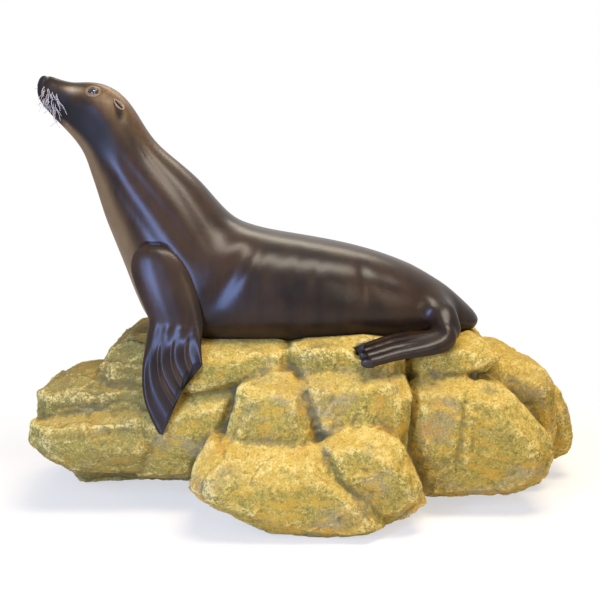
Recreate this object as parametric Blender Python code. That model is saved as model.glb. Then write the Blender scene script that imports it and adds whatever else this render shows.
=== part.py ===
"""A life-size sea lion statue: a painted resin casting lying on a base of moulded boulders.

Metres, +Z up. The animal faces -X, its left flank faces -Y, and the base stands on Z = 0.
The body with its hind flippers and ear flaps is one casting, each front flipper is another,
and the boulders are one moulding. Glass eyes and bristle whiskers are set into the head.
"""

import math
import random

import bmesh
import bpy
from mathutils import Vector
from mathutils.bvhtree import BVHTree

# Directions: a side of the animal, or the way a boulder faces
LEFT_FLANK, RIGHT_FLANK = -1, 1
FRONT, REAR = (0, -1), (0, 1)
HEAD_END, TAIL_END = (-1, 0), (1, 0)

# Main sizes. The animal's height runs from its belly to the top of its raised muzzle.
ANIMAL_LENGTH = 1.512
ANIMAL_HEIGHT = 0.902
ANIMAL_WIDTH = 0.450
BASE_LENGTH = 1.920
BASE_DEPTH = 0.920
BASE_HEIGHT = 0.625
BELLY_SINKS_IN = 0.045

# Fits between pieces
CASTING_GAP = 0.0010
EYE_GAP = 0.0004
WHISKER_GAP = 0.0003

# The tables below are drawn at full scale, and stretched to the main sizes along each axis.

# Body casting
BODY_POINTS_ROUND = 28
BODY_STEPS = 2
BELLY_CENTRE_SHARE = 0.44
MIDLINE = 0.0

# Each row: under side x, z and upper side x, z on the midline, width, and corner fullness
# where 2 is an ellipse and more is squarer. The rows run from the nose to the tail.
BODY_SECTIONS = (
    (-0.930, 1.425, -0.921, 1.472, 0.044, 2.3),
    (-0.917, 1.398, -0.903, 1.482, 0.070, 2.3),
    (-0.897, 1.370, -0.874, 1.478, 0.094, 2.2),
    (-0.873, 1.343, -0.843, 1.467, 0.104, 2.2),
    (-0.844, 1.313, -0.803, 1.459, 0.122, 2.3),
    (-0.816, 1.284, -0.753, 1.461, 0.156, 2.5),
    (-0.795, 1.258, -0.699, 1.452, 0.184, 2.5),
    (-0.778, 1.230, -0.648, 1.422, 0.196, 2.4),
    (-0.766, 1.198, -0.604, 1.370, 0.200, 2.2),
    (-0.755, 1.158, -0.563, 1.300, 0.208, 2.1),
    (-0.740, 1.108, -0.519, 1.245, 0.228, 2.0),
    (-0.713, 1.012, -0.454, 1.190, 0.268, 2.0),
    (-0.682, 0.928, -0.387, 1.130, 0.314, 2.0),
    (-0.645, 0.832, -0.330, 1.062, 0.362, 2.1),
    (-0.610, 0.735, -0.288, 1.018, 0.400, 2.1),
    (-0.560, 0.640, -0.250, 0.992, 0.424, 2.2),
    (-0.455, 0.588, -0.205, 0.975, 0.440, 2.3),
    (-0.310, 0.580, -0.145, 0.960, 0.450, 2.3),
    (-0.140, 0.580, -0.065, 0.946, 0.446, 2.3),
    (0.030, 0.580, 0.040, 0.928, 0.428, 2.3),
    (0.175, 0.580, 0.158, 0.903, 0.394, 2.2),
    (0.300, 0.582, 0.270, 0.868, 0.344, 2.2),
    (0.405, 0.588, 0.378, 0.822, 0.284, 2.1),
    (0.490, 0.598, 0.470, 0.762, 0.206, 2.0),
    (0.552, 0.608, 0.545, 0.694, 0.120, 2.0),
    (0.582, 0.632, 0.580, 0.660, 0.044, 2.0),
)

# Eyes and ear flaps. A spot on the head is a place among the rows above and a turn from the
# top of that section.
EYE_RADIUS = 0.0185
EYE_STANDS_OUT = 0.0055
EYE_SPOT = (5.63, math.radians(43))
EAR_SPOT = (7.50, math.radians(38))
EAR_LENGTH = 0.052
EAR_WIDTH = 0.024
EAR_THICKNESS = 0.018
EAR_POINTS_DOWN = math.radians(64)

# Whiskers, set in rows on the pads of the upper lip
WHISKER_ROWS = 4
WHISKERS_IN_ROW = 4
WHISKER_ROOT_DIAMETER = 0.0026
WHISKER_TIP_DIAMETER = 0.0012
WHISKER_LENGTH = 0.078
WHISKER_SIDES = 4
WHISKER_STEPS = 4
PAD_ROWS = (1.55, 3.05)
PAD_TURNS = (math.radians(70), math.radians(106))
PAD_STAGGER = 0.15

# Front flipper. Rows: leading edge x, z, trailing edge x, z, distance from the midline,
# thickness. They run from the shoulder to the wrist.
FLIPPER_POINTS_ROUND = 36
ARM_SECTIONS = (
    (-0.560, 0.938, -0.506, 0.938, 0.172, 0.024),
    (-0.586, 0.924, -0.464, 0.922, 0.174, 0.060),
    (-0.602, 0.894, -0.426, 0.884, 0.180, 0.080),
    (-0.603, 0.852, -0.396, 0.836, 0.186, 0.094),
    (-0.590, 0.803, -0.378, 0.788, 0.192, 0.098),
    (-0.568, 0.748, -0.366, 0.732, 0.201, 0.090),
)
ARM_FULLNESS = 2.7
WRIST = (-0.543, 0.692, -0.361, 0.680, 0.212, 0.070)
BLADE_STEPS = 9
BLADE_LEADING = ((-0.556, 0.617), (-0.568, 0.541), (-0.568, 0.465), (-0.552, 0.390))
BLADE_TRAILING = ((-0.370, 0.618),)
DIGIT_ENDS = (
    (-0.506, 0.314),
    (-0.462, 0.415),
    (-0.436, 0.480),
    (-0.406, 0.530),
    (-0.364, 0.556),
)
BLADE_EDGE_THICKNESS = 0.018
BLADE_TIP_OFF_MIDLINE = 0.282
BLADE_TURNS_OUT = 0.050
BLADE_TURNS_ABOUT = 0.12
DIGIT_RIDGE = 0.50
WEB_NOTCH = 0.012

# Hind flipper. Rows: centre x, distance from the midline, z, half width, half thickness,
# turn from 0 at the ankle to 1 at the sole.
HIND_POINTS_ROUND = 24
HIND_SECTIONS = (
    (0.320, 0.045, 0.716, 0.084, 0.084, 0.0),
    (0.380, 0.080, 0.712, 0.074, 0.070, 0.0),
    (0.424, 0.126, 0.698, 0.056, 0.050, 0.0),
    (0.443, 0.160, 0.674, 0.044, 0.042, 0.2),
    (0.447, 0.184, 0.647, 0.044, 0.038, 0.6),
    (0.428, 0.205, 0.624, 0.047, 0.034, 0.9),
    (0.385, 0.217, 0.616, 0.056, 0.029, 1.0),
    (0.330, 0.226, 0.612, 0.062, 0.026, 1.0),
    (0.270, 0.241, 0.606, 0.063, 0.024, 1.0),
    (0.212, 0.259, 0.594, 0.061, 0.022, 1.0),
    (0.166, 0.271, 0.583, 0.059, 0.019, 1.0),
    (0.148, 0.273, 0.580, 0.056, 0.015, 1.0),
    (0.135, 0.275, 0.578, 0.048, 0.006, 1.0),
)
FOOT_TILT = math.radians(21)
TOES = 4
TOE_RIDGE = 0.30
TOE_SCALLOP = 0.012

# Base of boulders. An outline lists corners seen from the side that the stone faces: x, z for
# a stone facing the front or the rear, and y, z for one at the head end or the tail end.
STONE_LAP = 0.008
STONE_ROUGHNESS = 0.005
BACK_SHRINK = 0.90
FLOOR = 0.0


class Stone:
    """A boulder, seen as an outline with a depth from its face back into the mound."""

    def __init__(self, name, faces, face, back, chamfer, outline, lean=0.03, tuck=0.03, rise=0.0):
        self.name = name
        self.faces = faces
        self.face = face
        self.back = back
        self.chamfer = chamfer
        self.outline = outline
        self.lean = lean
        self.tuck = tuck
        self.rise = rise


STONES = (
    Stone(
        "low_left", FRONT, 0.255, -0.06, 0.050,
        ((-0.950, 0.330), (-0.850, 0.315), (-0.690, 0.325), (-0.550, 0.375), (-0.530, 0.250),
         (-0.560, 0.120), (-0.700, 0.110), (-0.850, 0.140), (-0.920, 0.210), (-0.955, 0.270)),
        tuck=0.13,
    ),
    Stone(
        "low_left_inner", FRONT, 0.262, -0.20, 0.055,
        ((-0.600, 0.355), (-0.420, 0.420), (-0.270, 0.435), (-0.285, 0.330), (-0.330, 0.240),
         (-0.410, 0.160), (-0.440, 0.105), (-0.620, 0.110)),
        tuck=0.10,
    ),
    Stone(
        "left_ledge", FRONT, 0.190, -0.08, 0.045,
        ((-0.950, 0.300), (-0.935, 0.420), (-0.840, 0.465), (-0.730, 0.485), (-0.560, 0.440),
         (-0.520, 0.380), (-0.700, 0.290)),
        lean=0.10,
    ),
    Stone(
        "upper_left", FRONT, 0.165, -0.20, 0.050,
        ((-0.735, 0.455), (-0.730, 0.500), (-0.680, 0.560), (-0.630, 0.590), (-0.530, 0.600),
         (-0.450, 0.590), (-0.440, 0.440), (-0.550, 0.400), (-0.700, 0.410)),
        lean=0.06,
    ),
    Stone(
        "left_peak", FRONT, 0.010, -0.22, 0.030,
        ((-0.670, 0.550), (-0.630, 0.588), (-0.560, 0.603), (-0.470, 0.590), (-0.470, 0.520),
         (-0.660, 0.510)),
    ),
    Stone(
        "under_chest", FRONT, 0.255, -0.10, 0.050,
        ((-0.445, 0.430), (-0.430, 0.550), (-0.385, 0.605), (-0.120, 0.605), (-0.070, 0.585),
         (-0.080, 0.530), (-0.170, 0.480), (-0.270, 0.450)),
        lean=0.07,
    ),
    Stone(
        "middle", FRONT, 0.365, -0.10, 0.040,
        ((-0.250, 0.400), (-0.235, 0.475), (-0.130, 0.520), (-0.080, 0.510), (-0.040, 0.480),
         (-0.020, 0.370), (0.010, 0.300), (0.000, 0.265), (-0.120, 0.255), (-0.275, 0.275),
         (-0.280, 0.330)),
        lean=0.05,
    ),
    Stone(
        "under_foot", FRONT, 0.275, -0.12, 0.045,
        ((-0.080, 0.500), (-0.070, 0.595), (-0.020, 0.615), (0.170, 0.615), (0.300, 0.600),
         (0.305, 0.500), (0.160, 0.485)),
        lean=0.06,
    ),
    Stone(
        "middle_right", FRONT, 0.345, -0.05, 0.045,
        ((-0.050, 0.500), (0.090, 0.535), (0.290, 0.515), (0.315, 0.450), (0.305, 0.270),
         (0.210, 0.300), (0.070, 0.280), (0.000, 0.330)),
        lean=0.06,
    ),
    Stone(
        "low_right_inner", FRONT, 0.440, 0.05, 0.050,
        ((0.030, 0.310), (0.100, 0.345), (0.160, 0.360), (0.210, 0.350), (0.280, 0.305),
         (0.340, 0.180), (0.360, 0.115), (0.300, 0.060), (0.220, 0.030), (0.130, 0.140),
         (0.060, 0.220)),
        lean=0.06, tuck=0.04,
    ),
    Stone(
        "low_middle", FRONT, 0.470, 0.00, 0.055,
        ((-0.385, 0.250), (-0.340, 0.310), (-0.120, 0.295), (0.020, 0.300), (0.060, 0.230),
         (0.170, 0.130), (0.230, 0.045), (0.170, 0.015), (0.030, 0.000), (-0.140, 0.025),
         (-0.240, 0.085), (-0.340, 0.130), (-0.400, 0.180)),
        lean=0.07, tuck=0.04,
    ),
    Stone(
        "right", FRONT, 0.285, -0.10, 0.055,
        ((0.310, 0.420), (0.320, 0.470), (0.410, 0.500), (0.500, 0.478), (0.620, 0.450),
         (0.670, 0.420), (0.740, 0.340), (0.790, 0.290), (0.800, 0.230), (0.790, 0.150),
         (0.730, 0.090), (0.680, 0.065), (0.380, 0.060), (0.350, 0.120), (0.320, 0.230)),
        lean=0.06, tuck=0.06,
    ),
    Stone(
        "under_tail", FRONT, 0.200, -0.15, 0.045,
        ((0.320, 0.490), (0.340, 0.565), (0.490, 0.595), (0.540, 0.605), (0.580, 0.590),
         (0.630, 0.540), (0.590, 0.500), (0.510, 0.455), (0.420, 0.475)),
        lean=0.06,
    ),
    Stone(
        "upper_right", FRONT, 0.065, -0.22, 0.045,
        ((0.600, 0.440), (0.650, 0.495), (0.770, 0.475), (0.820, 0.450), (0.850, 0.400),
         (0.860, 0.250), (0.860, 0.170), (0.790, 0.200), (0.700, 0.300), (0.620, 0.360)),
        lean=0.03,
    ),
    Stone(
        "right_peak", FRONT, -0.080, -0.32, 0.030,
        ((0.600, 0.475), (0.650, 0.505), (0.700, 0.495), (0.770, 0.457), (0.800, 0.420),
         (0.780, 0.385), (0.620, 0.400)),
    ),
    Stone(
        "far_right", FRONT, -0.080, -0.26, 0.040,
        ((0.840, 0.340), (0.870, 0.365), (0.910, 0.335), (0.935, 0.270), (0.955, 0.180),
         (0.965, 0.135), (0.955, 0.100), (0.900, 0.080), (0.820, 0.080)),
    ),
    Stone(
        "head_end_low", HEAD_END, 0.930, 0.50, 0.055,
        ((-0.020, 0.110), (-0.040, 0.270), (0.060, 0.340), (0.200, 0.325), (0.275, 0.240),
         (0.270, 0.080), (0.180, 0.010), (0.060, 0.020)),
        lean=0.05, tuck=0.04,
    ),
    Stone(
        "head_end_high", HEAD_END, 0.850, 0.45, 0.050,
        ((-0.060, 0.290), (-0.040, 0.370), (0.060, 0.425), (0.200, 0.390), (0.285, 0.330),
         (0.270, 0.240), (0.080, 0.220)),
        lean=0.08,
    ),
    Stone(
        "tail_end_low", TAIL_END, 0.865, 0.50, 0.055,
        ((0.000, 0.100), (0.010, 0.250), (0.080, 0.310), (0.230, 0.280), (0.290, 0.160),
         (0.260, 0.020), (0.120, 0.000), (0.030, 0.020)),
        lean=0.05, tuck=0.04,
    ),
    Stone(
        "tail_end_high", TAIL_END, 0.820, 0.45, 0.050,
        ((0.020, 0.280), (0.030, 0.420), (0.140, 0.480), (0.270, 0.430), (0.310, 0.310),
         (0.260, 0.230), (0.080, 0.220)),
        lean=0.08,
    ),
    Stone(
        "rear_low_left", REAR, 0.380, 0.12, 0.055,
        ((-0.930, 0.120), (-0.900, 0.280), (-0.740, 0.330), (-0.520, 0.310), (-0.450, 0.200),
         (-0.480, 0.030), (-0.640, 0.010), (-0.860, 0.020)),
        tuck=0.06,
    ),
    Stone(
        "rear_low_middle_left", REAR, 0.435, 0.00, 0.055,
        ((-0.500, 0.130), (-0.450, 0.270), (-0.250, 0.310), (-0.060, 0.270), (-0.010, 0.130),
         (-0.060, 0.010), (-0.260, 0.000), (-0.440, 0.020)),
        tuck=0.05,
    ),
    Stone(
        "rear_low_middle_right", REAR, 0.450, 0.00, 0.060,
        ((-0.050, 0.140), (0.010, 0.280), (0.220, 0.330), (0.420, 0.280), (0.470, 0.140),
         (0.430, 0.010), (0.220, 0.000), (0.000, 0.010)),
        tuck=0.05,
    ),
    Stone(
        "rear_low_right", REAR, 0.400, 0.00, 0.055,
        ((0.420, 0.140), (0.460, 0.270), (0.640, 0.310), (0.820, 0.260), (0.880, 0.140),
         (0.840, 0.020), (0.650, 0.000), (0.450, 0.010)),
        tuck=0.05,
    ),
    Stone(
        "rear_upper_left", REAR, 0.235, 0.00, 0.050,
        ((-0.780, 0.340), (-0.760, 0.450), (-0.640, 0.560), (-0.480, 0.580), (-0.400, 0.520),
         (-0.380, 0.360), (-0.500, 0.280), (-0.700, 0.280)),
        lean=0.07,
    ),
    Stone(
        "rear_upper_middle", REAR, 0.320, 0.00, 0.050,
        ((-0.345, 0.380), (-0.330, 0.530), (-0.250, 0.605), (-0.080, 0.600), (-0.010, 0.530),
         (-0.020, 0.340), (-0.120, 0.260), (-0.290, 0.270)),
        lean=0.08,
    ),
    Stone(
        "rear_upper_right", REAR, 0.330, 0.00, 0.050,
        ((-0.050, 0.380), (-0.020, 0.560), (0.090, 0.620), (0.290, 0.605), (0.380, 0.520),
         (0.390, 0.340), (0.270, 0.280), (0.040, 0.280)),
        lean=0.08,
    ),
    Stone(
        "rear_tail", REAR, 0.310, 0.00, 0.050,
        ((0.350, 0.370), (0.370, 0.530), (0.470, 0.560), (0.600, 0.515), (0.690, 0.440),
         (0.720, 0.330), (0.600, 0.250), (0.420, 0.260)),
        lean=0.07,
    ),
)

# The fill behind the boulders, as footprint corners x, y
FILL_FOOTPRINT = (
    (-0.780, 0.140), (-0.420, 0.100), (-0.300, -0.200), (-0.100, -0.370), (0.180, -0.370),
    (0.290, -0.180), (0.400, -0.030), (0.720, 0.010), (0.860, 0.160), (0.800, 0.330),
    (0.300, 0.380), (-0.400, 0.370), (-0.780, 0.300),
)
# Each ring of the fill: height, and its size as a share of the footprint
FILL_RINGS = ((-0.020, 1.00), (0.270, 0.88), (0.545, 0.62))

# Paint colours, as linear values
SEAL_BROWN = (0.030, 0.022, 0.017)
SANDSTONE = (0.440, 0.310, 0.085)
EYE_BLACK = (0.010, 0.009, 0.009)
BRISTLE = (0.620, 0.560, 0.440)


class Drawing:
    """Coordinates as drawn, stretched to the real sizes along each axis."""

    def __init__(self, drawn_length, drawn_width, drawn_low, drawn_high):
        self.drawn = (drawn_length, drawn_width, drawn_high - drawn_low)
        self.drawn_low = drawn_low

    def fit(self, length, width, height, stands_at):
        self.stretch = [real / drawn for real, drawn in zip((length, width, height), self.drawn)]
        self.stands_at = stands_at
        return self

    def point(self, x, y, z):
        up = (z - self.drawn_low) * self.stretch[2]
        return Vector((x * self.stretch[0], y * self.stretch[1], self.stands_at + up))


def animal_drawing():
    xs = [x for row in BODY_SECTIONS for x in (row[0], row[2])]
    zs = [z for row in BODY_SECTIONS for z in (row[1], row[3])]
    widest = max(row[4] for row in BODY_SECTIONS)
    drawing = Drawing(max(xs) - min(xs), widest, min(zs), max(zs))
    stands_at = BASE_HEIGHT - BELLY_SINKS_IN
    return drawing.fit(ANIMAL_LENGTH, ANIMAL_WIDTH, ANIMAL_HEIGHT, stands_at)


def base_drawing():
    along = [x for stone in STONES if stone.faces in (FRONT, REAR) for x, _ in stone.outline]
    front = max(stone.face for stone in STONES if stone.faces == FRONT)
    rear = max(stone.face for stone in STONES if stone.faces == REAR)
    top = max(z for stone in STONES for _, z in stone.outline)
    drawing = Drawing(max(along) - min(along), front + rear, FLOOR, top)
    return drawing.fit(BASE_LENGTH, BASE_DEPTH, BASE_HEIGHT, FLOOR)


def clear_scene():
    for obj in list(bpy.data.objects):
        bpy.data.objects.remove(obj)


def material(name, colour, roughness, metallic=0.0):
    made = bpy.data.materials.new(name)
    made.use_nodes = True
    shader = made.node_tree.nodes["Principled BSDF"]
    shader.inputs["Base Color"].default_value = (*colour, 1.0)
    shader.inputs["Roughness"].default_value = roughness
    shader.inputs["Metallic"].default_value = metallic
    return made


def new_object(name, mesh_maker, finish, smooth_angle=math.radians(40)):
    """An object from a bmesh, with its faces turned outwards."""
    bmesh.ops.recalc_face_normals(mesh_maker, faces=mesh_maker.faces)
    mesh = bpy.data.meshes.new(name)
    mesh_maker.to_mesh(mesh)
    mesh_maker.free()
    mesh.materials.append(finish)
    mesh.shade_smooth()
    mesh.set_sharp_from_angle(angle=smooth_angle)
    obj = bpy.data.objects.new(name, mesh)
    bpy.context.scene.collection.objects.link(obj)
    return obj


def helper(obj):
    """Marks an object as a cutter that is no piece of the statue."""
    obj.hide_render = True
    obj.display_type = "WIRE"
    return obj


def boolean(obj, other, operation):
    cut = obj.modifiers.new(f"{operation.lower()}_{other.name}", "BOOLEAN")
    cut.operation = operation
    cut.solver = "EXACT"
    cut.object = other
    return cut


def mix(a, b, share):
    return a + (b - a) * share


def smooth_row(rows, position):
    """Values between the rows of a table, on one curve through all of them."""
    index = min(int(position), len(rows) - 2)
    share = position - index
    before = rows[max(index - 1, 0)]
    after = rows[min(index + 2, len(rows) - 1)]
    values = []
    for a, b, c, d in zip(before, rows[index], rows[index + 1], after):
        slope_in = (c - a) / 2
        slope_out = (d - b) / 2
        cube = 2 * (b - c) + slope_in + slope_out
        square = 3 * (c - b) - 2 * slope_in - slope_out
        values.append(((cube * share + square) * share + slope_in) * share + b)
    return values


def power_wave(value, fullness):
    """A sine or cosine pushed outwards, as on a squared ellipse."""
    return math.copysign(abs(value) ** (2 / fullness), value)


def body_ring(row, points_round):
    """One section of the body: an ellipse with squared corners, in a leaning plane."""
    turns = [2 * math.pi * index / points_round for index in range(points_round)]
    return [body_point(row, turn) for turn in turns]


def body_point(row, turn):
    """A point of a section, at a turn from its top."""
    low_x, low_z, high_x, high_z, width, fullness = row
    low = ANIMAL.point(low_x, MIDLINE, low_z)
    high = ANIMAL.point(high_x, MIDLINE, high_z)
    up = high - low
    height = up.length
    up.normalize()
    centre = low + up * height * BELLY_CENTRE_SHARE
    rise = power_wave(math.cos(turn), fullness)
    side = power_wave(math.sin(turn), fullness)
    reach = height * (1 - BELLY_CENTRE_SHARE if rise > 0 else BELLY_CENTRE_SHARE)
    half_width = width / 2 * ANIMAL.stretch[1]
    return centre + up * rise * reach + Vector((0, side * half_width, 0))


def loft(rings, strip_caps):
    """A closed skin over rings of points; a strip cap suits a thin, slit-like end."""
    skin = bmesh.new()
    made = [[skin.verts.new(point) for point in ring] for ring in rings]
    count = len(rings[0])
    for ring, following in zip(made, made[1:]):
        for index in range(count):
            after = (index + 1) % count
            skin.faces.new((ring[index], ring[after], following[after], following[index]))
    for end in (made[0], made[-1]):
        if strip_caps:
            for index in range(count // 2):
                far, near = (count - index) % count, count - index - 1
                corners = []
                for vert in (end[index], end[index + 1], end[near], end[far]):
                    if vert not in corners:
                        corners.append(vert)
                if len(corners) > 2:
                    skin.faces.new(corners)
        else:
            middle = sum((vert.co for vert in end), Vector()) / count
            pole = skin.verts.new(middle)
            for index in range(count):
                skin.faces.new((end[index], end[(index + 1) % count], pole))
    return skin


def body_rings(points_round, steps):
    last = len(BODY_SECTIONS) - 1
    positions = [index / steps for index in range(last * steps + 1)]
    return [body_ring(smooth_row(BODY_SECTIONS, at), points_round) for at in positions]


def curve_point(points, share):
    """A point at a share of the way along a smooth curve through the points."""
    rows = [tuple(point) for point in points]
    return Vector(smooth_row(rows, share * (len(rows) - 1)))


def edge_points(row, side):
    lead_x, lead_z, trail_x, trail_z, off, thickness = row
    lead = ANIMAL.point(lead_x, side * off, lead_z)
    trail = ANIMAL.point(trail_x, side * off, trail_z)
    return lead, trail, thickness


def blade_off_midline(z):
    """How far the blade stands from the midline: it drapes outwards towards its tip."""
    wrist_z, wrist_off = WRIST[1], WRIST[4]
    tip_z = DIGIT_ENDS[0][1]
    share = (wrist_z - z) / (wrist_z - tip_z)
    return mix(wrist_off, BLADE_TIP_OFF_MIDLINE, min(max(share, 0), 1))


def blade_point(across, along, side):
    """A point on the middle surface of the blade, spanned between its four edges."""
    wrist_lead, wrist_trail, _ = edge_points(WRIST, side)

    def in_space(x, z):
        return ANIMAL.point(x, side * blade_off_midline(z), z)

    lead = [wrist_lead, *(in_space(x, z) for x, z in BLADE_LEADING), in_space(*DIGIT_ENDS[0])]
    trail = [wrist_trail, *(in_space(x, z) for x, z in BLADE_TRAILING), in_space(*DIGIT_ENDS[-1])]
    ends = [in_space(x, z) for x, z in DIGIT_ENDS]
    on_wrist = wrist_lead.lerp(wrist_trail, across)
    on_ends = curve_point(ends, across)
    notch = WEB_NOTCH * abs(math.sin(math.pi * across * (len(ends) - 1)))
    on_ends += (on_wrist - on_ends).normalized() * notch
    on_lead = curve_point(lead, along)
    on_trail = curve_point(trail, along)
    straight_wrist = wrist_lead.lerp(wrist_trail, across)
    straight_ends = ends[0].lerp(ends[-1], across)
    between_sides = on_lead.lerp(on_trail, across)
    between_ends = on_wrist.lerp(on_ends, along)
    return between_sides + between_ends - straight_wrist.lerp(straight_ends, along)


def flipper_rings(side, points_round, blade_steps):
    """Sections of a front flipper from the shoulder to the ends of the digits."""
    outward = Vector((0, side, 0))
    rings = []
    turns = [2 * math.pi * index / points_round for index in range(points_round)]
    for row in ARM_SECTIONS:
        lead, trail, thickness = edge_points(row, side)
        ring = []
        for turn in turns:
            across = (1 - math.cos(turn)) / 2
            proud = power_wave(math.sin(turn), ARM_FULLNESS) * thickness / 2
            ring.append(lead.lerp(trail, across) + outward * proud)
        rings.append(ring)
    wrist_thickness = WRIST[5]
    for step in range(blade_steps + 1):
        along = step / blade_steps
        thickness = mix(wrist_thickness, BLADE_EDGE_THICKNESS, 1 - (1 - along) ** 2)
        ridge = DIGIT_RIDGE * math.sin(math.pi * min(along * 1.15, 1)) ** 0.8
        turned_out = BLADE_TURNS_OUT * math.sin(math.pi * along / 2)
        ring = []
        for turn in turns:
            across = (1 - math.cos(turn)) / 2
            digit = math.cos(2 * math.pi * across * (len(DIGIT_ENDS) - 1))
            swell = 1 + ridge * (digit - 1) / 2
            proud = power_wave(math.sin(turn), 2.6) * thickness / 2 * swell
            proud += turned_out * (across - BLADE_TURNS_ABOUT)
            ring.append(blade_point(across, along, side) + outward * proud)
        rings.append(ring)
    return rings


def hind_rings(side, points_round, toe_relief=1.0):
    """Sections of a hind flipper, from inside the hip round the heel to the toes."""
    sole = Vector((0, -side * math.cos(FOOT_TILT), math.sin(FOOT_TILT)))
    ankle = Vector((1, 0, 0))
    centres = [ANIMAL.point(row[0], side * row[1], row[2]) for row in HIND_SECTIONS]
    rings = []
    for index, row in enumerate(HIND_SECTIONS):
        half_width, half_thickness, turned = row[3:]
        before = centres[max(index - 1, 0)]
        after = centres[min(index + 1, len(centres) - 1)]
        forward = (after - before).normalized()
        wide = ankle.lerp(sole, turned)
        wide = (wide - forward * wide.dot(forward)).normalized()
        thick = forward.cross(wide) * side
        towards_end = max(index + 3 - len(HIND_SECTIONS), 0) / 2
        ring = []
        for step in range(points_round):
            turn = 2 * math.pi * step / points_round
            across = power_wave(math.cos(turn), 2.2)
            toe = math.cos(math.pi * (across + 1) * TOES)
            grown = max(turned - 0.4, 0) / 0.6
            swell = 1 - TOE_RIDGE * toe_relief * grown * (1 + toe) / 2
            lift = power_wave(math.sin(turn), 2.8) * half_thickness * swell
            point = centres[index] + wide * across * half_width + thick * lift
            point -= forward * TOE_SCALLOP * toe_relief * towards_end * (1 + toe) / 2
            ring.append(point)
        rings.append(ring)
    return rings


def ear_flap(name, surface, side, finish):
    """A small rolled ear flap that lies along the head and points down and back."""
    spot, normal = surface_spot(surface, *EAR_SPOT, side)
    along = Vector((math.cos(EAR_POINTS_DOWN), 0, -math.sin(EAR_POINTS_DOWN)))
    along = (along - normal * along.dot(normal)).normalized()
    across = normal.cross(along)
    rings = []
    stations = 7
    for index in range(1, stations):
        share = index / stations
        reach = math.sin(math.pi * share ** 1.3) ** 0.7
        centre = spot + along * EAR_LENGTH * (share - 0.5) + normal * EAR_THICKNESS * 0.30 * share
        ring = []
        for step in range(8):
            turn = 2 * math.pi * step / 8
            ring.append(
                centre
                + across * math.cos(turn) * EAR_WIDTH / 2 * reach
                + normal * math.sin(turn) * EAR_THICKNESS / 2 * reach
            )
        rings.append(ring)
    return helper(new_object(name, loft(rings, False), finish))


def surface_spot(surface, row, turn, side):
    """A point on the skin of the head or body, and its outward direction."""
    spot, normal, _, _ = surface.find_nearest(body_point(smooth_row(BODY_SECTIONS, row), side * turn))
    return spot, normal


def eye_centre(surface, side):
    spot, normal = surface_spot(surface, *EYE_SPOT, side)
    return spot - normal * (EYE_RADIUS - EYE_STANDS_OUT)


def ball(name, centre, radius, finish, detail):
    sphere = bmesh.new()
    bmesh.ops.create_uvsphere(sphere, u_segments=2 * detail, v_segments=detail, radius=radius)
    obj = new_object(name, sphere, finish)
    obj.location = centre
    return obj


def whisker_path(surface, side, row, column):
    """A bristle that leaves the lip squarely, then sweeps down in a fan."""
    back = column / (WHISKERS_IN_ROW - 1)
    down = row / (WHISKER_ROWS - 1)
    staggered = mix(*PAD_ROWS, back) + PAD_STAGGER * (row % 2)
    spot, normal = surface_spot(surface, staggered, mix(*PAD_TURNS, down), side)
    varied = random.Random(100 * row + 10 * column + side)
    length = WHISKER_LENGTH * (0.80 + 0.35 * back) * varied.uniform(0.85, 1.15)
    fan = Vector((mix(-0.75, 0.35, back) + varied.uniform(-0.16, 0.16), side * 0.42, -0.85))
    fan.normalize()
    root = spot + normal * (WHISKER_GAP + WHISKER_ROOT_DIAMETER * 0.02)
    elbow = root + normal * length * 0.22
    tip = elbow + (fan * 0.80 + normal * 0.12) * length
    points = []
    for step in range(WHISKER_STEPS + 1):
        share = step / WHISKER_STEPS
        points.append(root.lerp(elbow, share).lerp(elbow.lerp(tip, share), share))
    return points, normal


def whisker(name, surface, side, row, column, finish):
    points, root_direction = whisker_path(surface, side, row, column)
    rings = []
    for index, point in enumerate(points):
        if index == 0:
            forward = root_direction
        else:
            forward = (points[min(index + 1, len(points) - 1)] - points[index - 1]).normalized()
        across = forward.cross(Vector((0.2, 0.1, 1.0))).normalized()
        beside = forward.cross(across)
        radius = mix(WHISKER_ROOT_DIAMETER, WHISKER_TIP_DIAMETER, index / WHISKER_STEPS) / 2
        ring = []
        for step in range(WHISKER_SIDES):
            turn = 2 * math.pi * step / WHISKER_SIDES
            ring.append(point + (across * math.cos(turn) + beside * math.sin(turn)) * radius)
        rings.append(ring)
    return new_object(name, loft(rings, True), finish)


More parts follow.
